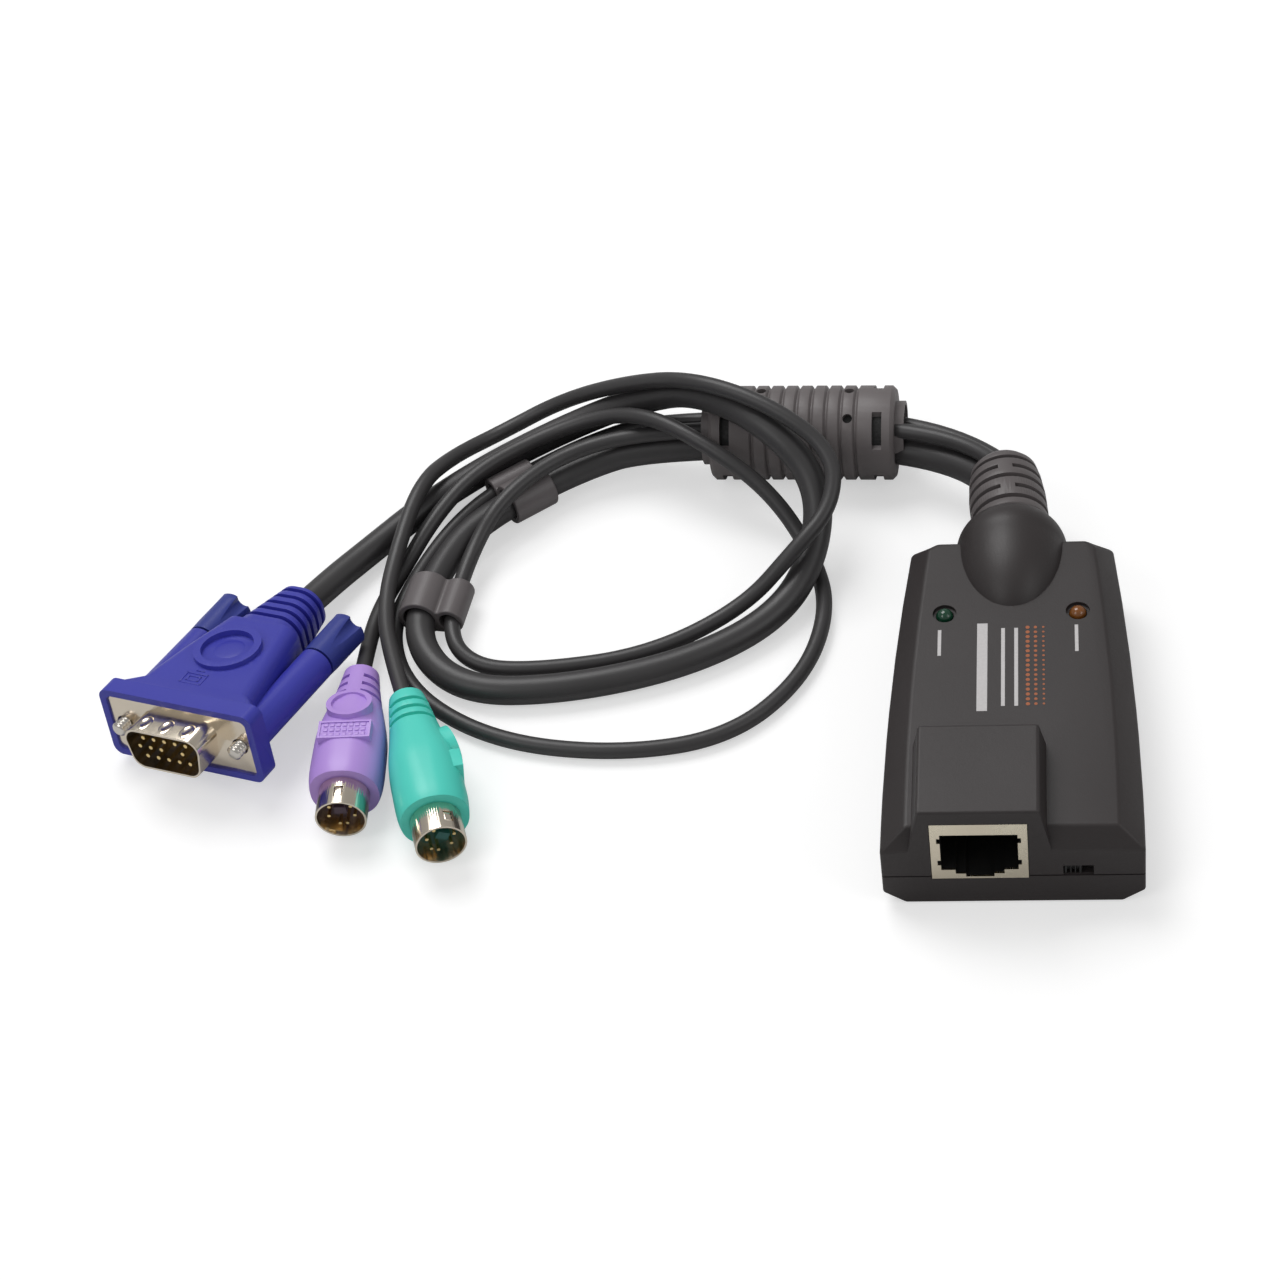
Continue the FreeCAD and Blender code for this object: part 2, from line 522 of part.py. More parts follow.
def video_insulator():
    """Moulded block inside the shell that carries the pins."""
    return pushed(shell_outline(8.06, 7.56, 2.3, -0.6), 3.6).cut(video_pins())


def video_pins():
    """Three rows of pins, the middle row half a step over and one pin short."""
    pitch, row_step = 2.29, 1.98
    pins = []
    for row, shift in ((1, 0.0), (0, -pitch / 2), (-1, 0.0)):
        for i in range(5):
            if row == 0 and i == 3:
                continue
            x = (i - 2) * pitch + shift
            z = row * row_step
            pins.append(rod(0.38, (x, -5.0, z), (x, 2.0, z)))
    return Part.makeCompound(pins)


def grip(sections):
    """Solid through rounded rectangles, each given as width, height, corner radius and y."""
    wires = [rounded_rectangle(width, height, radius, y) for width, height, radius, y in sections]
    return Part.makeLoft(wires, True, True)


def video_hood():
    """Moulded grip: rim, flared body with a thumb ring, screw barrels and ribbed tail."""
    rim = pushed(rounded_rectangle(32.8, 14.4, 1.9, -0.4), 3.8)
    flare = grip([(31.0, 13.8, 2.2, 3.4), (24.0, 12.8, 2.2, 6.6)])
    body = grip([(24.0, 12.8, 2.2, 6.6), (20.0, 12.4, 2.4, 17.0), (15.6, 11.4, 2.8, 28.0)])
    thumb = rod(6.3, (0, 17.6, 0), (0, 17.6, 7.2)).cut(rod(4.9, (0, 17.6, 6.0), (0, 17.6, 9.0)))
    tail = grip([(13.4, 10.8, 3.8, 28.0), (9.4, 8.8, 3.9, HOOD_TAIL)])
    core = grip([(10.4, 8.4, 3.0, 28.0), (7.4, 6.8, 3.2, HOOD_TAIL)])
    sides = (-SCREW_HALF_PITCH, SCREW_HALF_PITCH)
    barrels = [rod(BARREL_RADIUS, (x, 3.4, 0), (x, KNOB_SPAN[0] - 0.5, 0)) for x in sides]
    webs = [box(sorted((x * 0.6, x)), (3.4, 16.0), centred(3.6)) for x in sides]
    for i in range(TAIL_RIBS):
        y = 30.0 + i * 2.3
        tail = tail.cut(box((-10, 10), (y, y + 1.0), (-10, 10)))
    hood = joined([rim, flare, body, thumb, core, tail] + barrels + webs)
    cuts = [pushed(rounded_rectangle(30.0, 11.8, 1.2, -1.0), 1.8), pushed(shell_outline(8.06, 7.56, 2.3, 0.5), 2.5)]
    for x in sides:
        cuts.append(rod(THREAD_RADIUS + 0.08, (x, -1, 0), (x, 40, 0)))
        cuts.append(rod(KNOB_RADIUS + 0.7, (x, KNOB_SPAN[0] - 0.5, 0), (x, KNOB_SPAN[1] + 1, 0)))
    return hood.cut(cuts)


def screw_rod(side):
    """Threaded steel rod of one thumbscrew, from beyond the flange into its knob."""
    x = side * SCREW_HALF_PITCH
    return rod(THREAD_RADIUS, (x, -THREAD_REACH, 0), (x, KNOB_SPAN[1] - 3, 0))


def thumbscrew(side):
    """Fluted knob, flared towards its end, moulded round its rod."""
    x = side * SCREW_HALF_PITCH
    length = KNOB_SPAN[1] - KNOB_SPAN[0]
    knob = Part.makeCone(BARREL_RADIUS, KNOB_RADIUS, length, Vector(x, KNOB_SPAN[0], 0), Vector(0, 1, 0))
    cuts = [screw_rod(side)]
    for i in range(4):
        angle = math.radians(90 * i + 45)
        near, far = KNOB_RADIUS + 1.4, KNOB_RADIUS + 0.5
        start = (x + near * math.cos(angle), KNOB_SPAN[0] + 1.4, near * math.sin(angle))
        end = (x + far * math.cos(angle), KNOB_SPAN[1] + 1, far * math.sin(angle))
        cuts.append(rod(1.6, start, end))
    return knob.cut(cuts)


# ---------------------------------------------------------------- round plugs, mating towards local -Y
def plug_boot(tail):
    """Moulded grip of a round plug: blunt front, thumb ring, raised panel and ribbed neck."""
    sections = [(12.2, 12.0, 5.6, 6.0), (12.9, 12.6, 5.8, 8.0), (12.9, 12.6, 5.6, 13.0), (12.4, 12.2, 5.2, 18.0),
                (9.9, 10.0, 4.5, 24.5), (7.6, 7.8, 3.6, tail - 4.0), (6.4, 6.4, 3.1, tail)]
    wires = [rounded_rectangle(width, height, radius, y) for width, height, radius, y in sections]
    boot = Part.makeLoft(wires, True, False)
    ring_site = Vector(0, 21.6, 3.6)
    thumb = Part.makeCylinder(4.1, 2.5, ring_site).cut(Part.makeCylinder(3.2, 1.0, ring_site + Vector(0, 0, 1.9)))
    thumb.rotate(ring_site, Vector(1, 0, 0), -15)
    panel = box(centred(9.4), (13.4, 17.4), (4.0, 6.5)).cut(box(centred(8.6), (13.8, 17.0), (6.25, 7.0)))
    boot = joined([boot, thumb, panel])
    cuts = [rod(CAN_NECK, (0, 0, 0), (0, CAN_DEPTH, 0))]
    for i in range(3):
        y = tail - 8.0 + i * 2.3
        for side in (-1, 1):
            cuts.append(box(centred(6.0, side * 4.3), (y, y + 0.9), (-8, 8)))
    return boot.cut(cuts)


def plug_can():
    """Round metal can with a narrower neck inside the boot and a pressed notch on top."""
    can = joined([rod(CAN_RADIUS, (0, 0, 0), (0, CAN_REACH, 0)), rod(CAN_NECK, (0, CAN_REACH, 0), (0, CAN_DEPTH, 0))])
    can = can.cut(rod(CAN_RADIUS - 0.35, (0, -1, 0), (0, CAN_REACH - 0.4, 0)))
    return can.cut(box(centred(1.6), (1.6, 3.8), (3.0, 5.0)))


def plug_insulator(pins):
    """Moulded disc with the polarising key that stands forward between the pins."""
    disc = rod(CAN_RADIUS - 0.35, (0, 4.2, 0), (0, CAN_REACH - 0.4, 0))
    key = box(centred(2.2), (1.0, 4.2), (0.4, 2.0))
    return joined([disc, key]).cut(pins)


def plug_pins():
    """Six pins in three pairs, set round the middle."""
    pins = []
    for x, z in ((-0.65, -2.4), (0.65, -2.4), (-2.3, -0.4), (2.3, -0.4), (-1.9, 1.9), (1.9, 1.9)):
        pins.append(rod(0.3, (x, 1.2, z), (x, CAN_REACH - 0.6, z)))
    return Part.makeCompound(pins)


# ---------------------------------------------------------------- nodes
def placed(shape, place):
    """Move a plug's sub-part from its own frame to where the plug lies."""
    moved = shape.copy()
    moved.Placement = place.multiply(moved.Placement)
    return moved


def module_nodes():
    """Sub-parts of the module, drawn from its front face."""
    wall = case_wall()
    contacts = jack_contacts()
    nodes = {
        "top_shell": top_shell(wall),
        "bottom_shell": bottom_shell(wall),
        "strain_relief": strain_relief(),
        "rj45_shield": jack_shield(),
        "rj45_insert": jack_insert(contacts),
        "rj45_contacts": contacts,
        "circuit_board": circuit_board(),
        "switch_frame": switch_frame(),
        "switch_slider": switch_slider(),
        "indicator_left": indicator(LAMP_SITES[0]),
        "indicator_right": indicator(LAMP_SITES[1]),
        "indicator_leads": indicator_leads(),
        "main_chip": chip((1.0, 35.0), (12.0, 12.0), 9, 4),
        "second_chip": chip((-3.0, 49.5), (5.4, 8.6), 7, 2),
        "crystal": crystal(),
        "capacitors": capacitors(),
        "cable_header": cable_header(),
        "housing_screws": housing_screws(),
    }
    for shape in nodes.values():
        shape.translate(MODULE_SHIFT)
    return nodes


def cord_nodes():
    """The three cords and what grips them."""
    return {
        "video_cord": cord("video", VIDEO_ROUTE, VIDEO_DIAMETER),
        "keyboard_cord": cord("keyboard", KEYBOARD_ROUTE, THIN_DIAMETER),
        "mouse_cord": cord("mouse", MOUSE_ROUTE, THIN_DIAMETER),
        "choke_moulding": on_choke(choke_moulding()),
        "ferrite_core": on_choke(ferrite_ring()),
        "clip_front": cable_clip((-106.5, 23.3, 0), 262.0, -1.9, 3.8, 4.0),
        "clip_middle": cable_clip((-93.5, 53.8, 0), 217.7, 2.5, -3.6, 2.8),
    }


def plug_nodes():
    """Video, keyboard and mouse plugs where they lie."""
    nodes = {
        "video_hood": placed(video_hood(), VIDEO_PLUG),
        "video_shell": placed(video_shell(), VIDEO_PLUG),
        "video_insulator": placed(video_insulator(), VIDEO_PLUG),
        "video_pins": placed(video_pins(), VIDEO_PLUG),
        "thumbscrew_left": placed(thumbscrew(-1), VIDEO_PLUG),
        "thumbscrew_right": placed(thumbscrew(1), VIDEO_PLUG),
        "screw_rod_left": placed(screw_rod(-1), VIDEO_PLUG),
        "screw_rod_right": placed(screw_rod(1), VIDEO_PLUG),
    }
    for name, place, tail in (("keyboard", KEYBOARD_PLUG, 34.0), ("mouse", MOUSE_PLUG, 35.5)):
        pins = plug_pins()
        nodes[name + "_boot"] = placed(plug_boot(tail), place)
        nodes[name + "_can"] = placed(plug_can(), place)
        nodes[name + "_insulator"] = placed(plug_insulator(pins), place)
        nodes[name + "_pins"] = placed(pins, place)
    return nodes


def main():
    """Build every node, seat the cords in what they leave and enter, and write the files."""
    nodes = module_nodes()
    nodes.update(cord_nodes())
    nodes.update(plug_nodes())
    cords = [nodes["video_cord"], nodes["keyboard_cord"], nodes["mouse_cord"]]
    nodes["strain_relief"] = nodes["strain_relief"].cut(cords)
    nodes["video_hood"] = nodes["video_hood"].cut(cords[0])
    nodes["keyboard_boot"] = nodes["keyboard_boot"].cut(cords[1])
    nodes["mouse_boot"] = nodes["mouse_boot"].cut(cords[2])
    os.makedirs("parts", exist_ok=True)
    for name, shape in nodes.items():
        shape.exportStep("parts/" + name + ".step")
        bounds = shape.BoundBox
        print(name, shape.isValid(), len(shape.Solids), round(shape.Volume, 1),
              "z", round(bounds.ZMin, 2), round(bounds.ZMax, 2))


main()
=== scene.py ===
"""Dressed model of a keyboard, video and mouse adapter on a looped lead.

Metres, +Z up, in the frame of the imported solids: the module lies flat with its network socket
towards -Y and its cord end towards +Y. Each sub-assembly is a class that shapes and dresses its
own pieces: the studio comes first, then the module, the plugs and the lead that joins them.
"""

import json
import logging
import math
from dataclasses import dataclass
from enum import Enum
from typing import Callable, Iterable, Optional, Sequence, Union

import bmesh
import bpy
from mathutils import Matrix, Vector

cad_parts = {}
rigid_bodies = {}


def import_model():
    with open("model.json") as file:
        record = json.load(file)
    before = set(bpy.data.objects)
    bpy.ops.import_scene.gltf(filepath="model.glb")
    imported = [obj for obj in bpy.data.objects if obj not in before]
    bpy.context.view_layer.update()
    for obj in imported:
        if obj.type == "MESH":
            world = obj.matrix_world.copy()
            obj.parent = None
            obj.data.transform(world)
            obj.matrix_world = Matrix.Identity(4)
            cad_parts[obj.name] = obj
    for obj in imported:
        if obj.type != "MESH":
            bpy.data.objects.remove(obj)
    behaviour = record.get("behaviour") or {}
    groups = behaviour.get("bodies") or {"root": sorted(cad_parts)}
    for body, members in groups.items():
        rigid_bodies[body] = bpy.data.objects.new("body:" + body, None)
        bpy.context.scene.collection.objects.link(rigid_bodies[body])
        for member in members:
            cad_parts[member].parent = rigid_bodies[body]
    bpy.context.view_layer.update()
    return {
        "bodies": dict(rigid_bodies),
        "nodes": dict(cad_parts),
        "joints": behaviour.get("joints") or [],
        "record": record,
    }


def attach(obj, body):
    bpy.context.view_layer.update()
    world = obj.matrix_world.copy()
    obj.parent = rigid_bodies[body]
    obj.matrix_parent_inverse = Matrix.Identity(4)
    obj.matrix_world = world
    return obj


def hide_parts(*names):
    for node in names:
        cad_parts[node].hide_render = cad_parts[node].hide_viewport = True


LOG = logging.getLogger("adapter")
MM = 0.001
NOISE_MIDDLE = 0.5
MERGE_DISTANCE = 1e-7

Span = tuple[float, float]
Point = tuple[float, float, float]
Rgb = tuple[float, float, float]
Piece = bpy.types.Object
Shape = bmesh.types.BMesh
Edge = bmesh.types.BMEdge


def mm(*values: float) -> Vector:
    """Turn millimetres into the metres of the scene.

    Args:
        values: The three parts of a point or a way, in millimetres.

    Returns:
        The same vector in metres.
    """
    return Vector(values) * MM


# ---------- shader graphs
class Signal:
    """One number that varies over a surface, with the usual operators."""

    def __init__(self, graph: "Graph", socket: bpy.types.NodeSocket) -> None:
        """Wrap an output socket of the graph."""
        self.graph = graph
        self.socket = socket

    def _with(self, operation: str, first: "Value", second: "Value") -> "Signal":
        """Math node on two values."""
        return self.graph.node("ShaderNodeMath", {0: first, 1: second}, operation=operation)

    def __add__(self, other: "Value") -> "Signal":
        """Sum."""
        return self._with("ADD", self, other)

    def __radd__(self, other: "Value") -> "Signal":
        """Sum, reflected."""
        return self._with("ADD", other, self)

    def __sub__(self, other: "Value") -> "Signal":
        """Difference."""
        return self._with("SUBTRACT", self, other)

    def __rsub__(self, other: "Value") -> "Signal":
        """Difference, reflected."""
        return self._with("SUBTRACT", other, self)

    def __mul__(self, other: "Value") -> "Signal":
        """Product."""
        return self._with("MULTIPLY", self, other)

    def __rmul__(self, other: "Value") -> "Signal":
        """Product, reflected."""
        return self._with("MULTIPLY", other, self)

    def band(self, low: float, high: float) -> "Signal":
        """Smooth step over a range of the signal.

        Args:
            low: Where the step is still zero.
            high: Where it reaches one.

        Returns:
            The stepped signal.
        """
        settings = {"Value": self, "From Min": low, "From Max": high}
        return self.graph.node("ShaderNodeMapRange", settings, interpolation_type="SMOOTHSTEP")


Value = Union[Signal, float, Sequence[float]]


class Graph:
    """Node tree of one material, built round a Principled shader."""

    def __init__(self, name: str) -> None:
        """Start an empty material with its shader and output.

        Args:
            name: Name of the material.
        """
        self.material = bpy.data.materials.new(name)
        self.material.use_nodes = True
        self.tree = self.material.node_tree
        self.tree.nodes.clear()
        output = self.tree.nodes.new("ShaderNodeOutputMaterial")
        self.shader = self.tree.nodes.new("ShaderNodeBsdfPrincipled")
        self.tree.links.new(self.shader.outputs[0], output.inputs["Surface"])

    def node(self, kind: str, inputs: dict, out: Union[int, str] = 0, **settings: object) -> Signal:
        """Add a node, apply its settings, then fill its sockets.

        Args:
            kind: Node type.
            inputs: Values or links by socket name or index.
            out: Output to return.
            settings: Attributes set before the sockets are filled.

        Returns:
            The chosen output.
        """
        made = self.tree.nodes.new(kind)
        for name, value in settings.items():
            setattr(made, name, value)
        for key, value in inputs.items():
            self.fill(made.inputs[key], value)
        return Signal(self, made.outputs[out])

    def fill(self, socket: bpy.types.NodeSocket, value: Value) -> None:
        """Link a signal to a socket, or set the socket's own value.

        Args:
            socket: The input socket.
            value: What goes into it.
        """
        if isinstance(value, Signal):
            self.tree.links.new(value.socket, socket)
        else:
            socket.default_value = value

    def set(self, **values: Value) -> None:
        """Set the shader's sockets; an underscore stands for a space."""
        for name, value in values.items():
            self.fill(self.shader.inputs[name.replace("_", " ")], value)

    def coordinates(self, stretch: Point = (1.0, 1.0, 1.0)) -> Signal:
        """Object coordinates, scaled along the axes."""
        place = self.node("ShaderNodeTexCoord", {}, out="Object")
        return self.node("ShaderNodeMapping", {"Vector": place, "Scale": stretch})

    def noise(self, size: float, detail: float = 2.0, stretch: Point = (1.0, 1.0, 1.0)) -> Signal:
        """Smooth noise.

        Args:
            size: Rough width of one blotch, in metres.
            detail: Octaves of finer noise.
            stretch: Scale of the pattern along each axis.

        Returns:
            The noise, from zero to one.
        """
        inputs = {"Vector": self.coordinates(stretch), "Scale": 1.0 / size, "Detail": detail}
        return self.node("ShaderNodeTexNoise", inputs)

    def cells(self, size: float) -> Signal:
        """Distance field of cells about size metres across."""
        return self.node("ShaderNodeTexVoronoi", {"Vector": self.coordinates(), "Scale": 1.0 / size})

    def mix(self, factor: Value, first: Rgb, second: Rgb) -> Signal:
        """Blend two colours.

        Args:
            factor: How much of the second colour shows.
            first: Colour at zero.
            second: Colour at one.

        Returns:
            The blend.
        """
        inputs = {"Factor": factor, 6: (*first, 1.0), 7: (*second, 1.0)}
        return self.node("ShaderNodeMix", inputs, out=2, data_type="RGBA")

    def tint(self, factor: Value, color: Rgb, tones: Span) -> Signal:
        """Vary one colour between a darker and a lighter tone.

        Args:
            factor: How much of the second tone shows.
            color: The colour.
            tones: What the colour is multiplied by at zero and at one.

        Returns:
            The varied colour.
        """
        return self.mix(factor, shade(color, tones[0]), shade(color, tones[1]))

    def bump(self, height: Signal, depth: float) -> Signal:
        """Relief without geometry.

        Args:
            height: Height of the surface, from zero to one.
            depth: Depth of the relief, in metres.

        Returns:
            The normal.
        """
        return self.node("ShaderNodeBump", {"Height": height, "Distance": depth, "Strength": 1.0})


def shade(color: Rgb, factor: float) -> Rgb:
    """Lighten or darken a colour.

    Args:
        color: The colour.
        factor: What each channel is multiplied by.

    Returns:
        The colour, with no channel above one.
    """
    return tuple(min(1.0, channel * factor) for channel in color)


@dataclass(frozen=True)
class Moulded:
    """Moulded plastic with a sparked grain, slight mottling and a gloss where hands hold it."""

    name: str
    slot: str
    color: Rgb
    roughness: float = 0.45
    grain: float = 0.00028
    grain_depth: float = 0.000012
    mottle: float = 0.12
    patch_size: float = 0.011
    handled_size: float = 0.03
    handled_range: Span = (0.35, 0.7)
    grain_gloss: float = 0.12
    handled_gloss: float = 0.05

    def build(self) -> bpy.types.Material:
        """Make grain in the normal, and mottling in the colour and gloss.

        Returns:
            The material.
        """
        graph = Graph(self.name)
        patches = graph.noise(self.patch_size, 3.0)
        grain = graph.noise(self.grain, 2.0)
        handled = graph.noise(self.handled_size, 1.0).band(*self.handled_range)
        color = graph.tint(patches, self.color, (1 - self.mottle, 1 + self.mottle))
        uneven = (grain - NOISE_MIDDLE) * self.grain_gloss
        graph.set(Base_Color=color, Roughness=self.roughness + uneven - handled * self.handled_gloss)
        graph.set(Normal=graph.bump(grain, self.grain_depth))
        return graph.material


@dataclass(frozen=True)
class Jacket:
    """Extruded cord jacket: soft, even, with faint rings and smudges."""

    name: str
    slot: str
    color: Rgb
    roughness: float = 0.46
    tones: Span = (0.82, 1.22)
    smudge_size: float = 0.018
    fine_size: float = 0.00035
    ripple_size: float = 0.004
    smudge_gloss: float = 0.16
    fine_gloss: float = 0.08
    fine_share: float = 0.6
    ripple_share: float = 0.8
    depth: float = 0.00002

    def build(self) -> bpy.types.Material:
        """Make smudges in the colour and gloss, and faint rings in the normal.

        Returns:
            The material.
        """
        graph = Graph(self.name)
        smudge = graph.noise(self.smudge_size, 3.0)
        fine = graph.noise(self.fine_size, 3.0)
        ripple = graph.noise(self.ripple_size, 1.0)
        graph.set(Base_Color=graph.tint(smudge, self.color, self.tones))
        uneven = (smudge - NOISE_MIDDLE) * self.smudge_gloss
        graph.set(Roughness=self.roughness + uneven + (fine - NOISE_MIDDLE) * self.fine_gloss)
        graph.set(Normal=graph.bump(fine * self.fine_share + ripple * self.ripple_share, self.depth))
        return graph.material


@dataclass(frozen=True)
class Plated:
    """Plated or drawn metal with fine draw lines and handling haze."""

    name: str
    slot: str
    color: Rgb
    roughness: float = 0.2
    tones: Span = (0.9, 1.06)
    lines: float = 0.0002
    stretch: Point = (1.0, 0.05, 1.0)
    haze_size: float = 0.006
    haze_middle: float = 0.4
    haze_gloss: float = 0.16
    line_gloss: float = 0.1
    depth: float = 0.000004

    def build(self) -> bpy.types.Material:
        """Make haze in the colour and gloss, and draw lines in the gloss and normal.

        Returns:
            The material.
        """
        graph = Graph(self.name)
        draw = graph.noise(self.lines, 2.0, self.stretch)
        haze = graph.noise(self.haze_size, 3.0)
        graph.set(Base_Color=graph.tint(haze, self.color, self.tones))
        hazy = (haze - self.haze_middle) * self.haze_gloss
        graph.set(Metallic=1.0, Roughness=self.roughness + hazy + (draw - NOISE_MIDDLE) * self.line_gloss)
        graph.set(Normal=graph.bump(draw, self.depth))
        return graph.material


@dataclass(frozen=True)
class Lens:
    """Tinted clear lamp body with a little haze inside."""

    name: str
    slot: str
    color: Rgb
    roughness: float = 0.12
    tones: Span = (0.8, 1.25)
    haze_size: float = 0.0012
    haze_gloss: float = 0.1
    clearness: float = 0.35
    coat: float = 0.4

    def build(self) -> bpy.types.Material:
        """Make tinted plastic that lets some light through.

        Returns:
            The material.
        """
        graph = Graph(self.name)
        haze = graph.noise(self.haze_size, 2.0)
        graph.set(Base_Color=graph.tint(haze, self.color, self.tones))
        graph.set(Roughness=self.roughness + haze * self.haze_gloss, IOR=1.5)
        graph.set(Transmission_Weight=self.clearness, Coat_Weight=self.coat)
        return graph.material


@dataclass(frozen=True)
class Ink:
    """Screen-printed ink with slightly uneven cover."""

    name: str
    slot: str
    color: Rgb
    roughness: float = 0.55
    tones: Span = (0.84, 1.06)
    cover_size: float = 0.0004
    cover_gloss: float = 0.2
    depth: float = 0.000006

    def build(self) -> bpy.types.Material:
        """Make matt ink that is a little thin in places.

        Returns:
            The material.
        """
        graph = Graph(self.name)
        cover = graph.noise(self.cover_size, 3.0)
        graph.set(Base_Color=graph.tint(cover, self.color, self.tones))
        graph.set(Roughness=self.roughness + (cover - NOISE_MIDDLE) * self.cover_gloss)
        graph.set(Normal=graph.bump(cover, self.depth))
        return graph.material


@dataclass(frozen=True)
class Fired:
    """Sintered black core: matt, with a fine sandy grain."""

    name: str
    slot: str
    color: Rgb
    roughness: float = 0.75
    tones: Span = (0.7, 1.6)
    grain: float = 0.0005
    grain_gloss: float = 0.2
    depth: float = 0.00004

    def build(self) -> bpy.types.Material:
        """Make a dark sandy surface.

        Returns:
            The material.
        """
        graph = Graph(self.name)
        sand = graph.cells(self.grain)
        graph.set(Base_Color=graph.tint(sand, self.color, self.tones))
        graph.set(Roughness=self.roughness - sand * self.grain_gloss, Normal=graph.bump(sand, self.depth))
        return graph.material


@dataclass(frozen=True)
class Laminate:
    """Circuit board under solder mask, with faint tracks."""

    name: str
    slot: str
    color: Rgb
    roughness: float = 0.3
    tones: Span = (1.0, 1.7)
    track_scale: float = 260.0
    track_bend: float = 2.0
    track_range: Span = (0.75, 0.9)
    track_gloss: float = 0.1
    depth: float = 0.00003

    def build(self) -> bpy.types.Material:
        """Make a green mask with lighter tracks.

        Returns:
            The material.
        """
        graph = Graph(self.name)
        inputs = {"Vector": graph.coordinates(), "Scale": self.track_scale, "Distortion": self.track_bend}
        tracks = graph.node("ShaderNodeTexWave", inputs).band(*self.track_range)
        graph.set(Base_Color=graph.tint(tracks, self.color, self.tones))
        graph.set(Roughness=self.roughness + tracks * self.track_gloss)
        graph.set(Normal=graph.bump(tracks, self.depth))
        return graph.material


class Finishes(Enum):
    """Every finish on the object."""

    CASE = Moulded("case_grained", "case", (0.03, 0.0245, 0.0245), 0.5, 0.0003, 0.000016, 0.08)
    RELIEF = Moulded("relief_soft", "relief_rubber", (0.115, 0.102, 0.102), 0.5, 0.0005, 0.00001, 0.1)
    JACK_METAL = Plated("jack_plate", "jack_metal", (1.0, 0.88, 0.7), 0.24)
    JACK_PLASTIC = Moulded("jack_black", "jack_plastic", (0.008, 0.008, 0.008), 0.45)
    GOLD = Plated("contact_gold", "gold", (0.92, 0.7, 0.32), 0.18)
    BOARD = Laminate("board_mask", "board", (0.02, 0.13, 0.05))
    SWITCH = Moulded("switch_black", "switch_plastic", (0.009, 0.009, 0.009), 0.42)
    GREEN_LENS = Lens("lens_green", "green_lens", (0.006, 0.075, 0.035))
    AMBER_LENS = Lens("lens_amber", "amber_lens", (0.3, 0.1, 0.015))
    TIN = Plated("tinned_wire", "tin", (0.72, 0.72, 0.72), 0.3)
    CHIP = Moulded("chip_epoxy", "chip_black", (0.02, 0.02, 0.02), 0.55)
    CAPACITOR = Moulded("capacitor_sleeve", "capacitor_sleeve", (0.02, 0.03, 0.08), 0.25)
    HEADER = Moulded("header_nylon", "header_white", (0.72, 0.7, 0.62), 0.4)
    SCREW = Plated("screw_zinc", "screw_steel", (0.55, 0.55, 0.57), 0.34)
    CORD = Jacket("cord_jacket", "cord_pvc", (0.042, 0.04, 0.041), 0.42)
    CHOKE = Moulded("choke_grained", "choke_plastic", (0.148, 0.132, 0.132), 0.5, 0.0004, 0.000014, 0.08)
    FERRITE = Fired("ferrite_fired", "ferrite", (0.012, 0.012, 0.012))
    CLIP = Moulded("clip_dark", "clip_plastic", (0.132, 0.118, 0.12), 0.42, 0.0004, 0.00001)
    BLUE = Moulded("hood_blue", "video_blue", (0.042, 0.046, 0.4), 0.4, 0.0005, 0.000008, 0.05)
    BLUE_DEEP = Moulded("knob_blue", "video_blue", (0.03, 0.045, 0.27), 0.38, 0.0005, 0.000008, 0.05)
    NICKEL = Plated("shell_nickel", "plug_nickel", (0.86, 0.77, 0.64), 0.16)
    THREAD = Plated("thread_steel", "plug_nickel", (0.8, 0.76, 0.7), 0.2)
    INSULATOR = Moulded("insulator_black", "insulator_black", (0.02, 0.014, 0.018), 0.35)
    PURPLE = Moulded("boot_purple", "keyboard_purple", (0.5, 0.31, 0.79), 0.4, 0.0005, 0.000008, 0.05)
    VIOLET = Moulded("insert_violet", "insulator_violet", (0.06, 0.03, 0.05), 0.35)
    GREEN = Moulded("boot_green", "mouse_green", (0.09, 0.72, 0.6), 0.4, 0.0005, 0.000008, 0.05)
    TEAL = Moulded("insert_teal", "insulator_teal", (0.012, 0.1, 0.085), 0.35)
    WHITE_INK = Ink("ink_white", "case", (0.62, 0.6, 0.6))
    ORANGE_INK = Ink("ink_orange", "case", (0.42, 0.12, 0.04))


class Dresser:
    """Builds each finish once and hands it to the pieces that wear it."""

    def __init__(self) -> None:
        """Start with no material built."""
        self._built: dict[Finishes, bpy.types.Material] = {}

    def material(self, finish: Finishes) -> bpy.types.Material:
        """Material of a finish, built when first asked for.

        Args:
            finish: The finish.

        Returns:
            Its material.
        """
        if finish not in self._built:
            self._built[finish] = finish.value.build()
        return self._built[finish]

    def wear(self, piece: Piece, finish: Finishes) -> Piece:
        """Give a piece one finish all over.

        Args:
            piece: The piece.
            finish: What it wears.

        Returns:
            The piece.
        """
        piece.data.materials.clear()
        piece.data.materials.append(self.material(finish))
        return piece


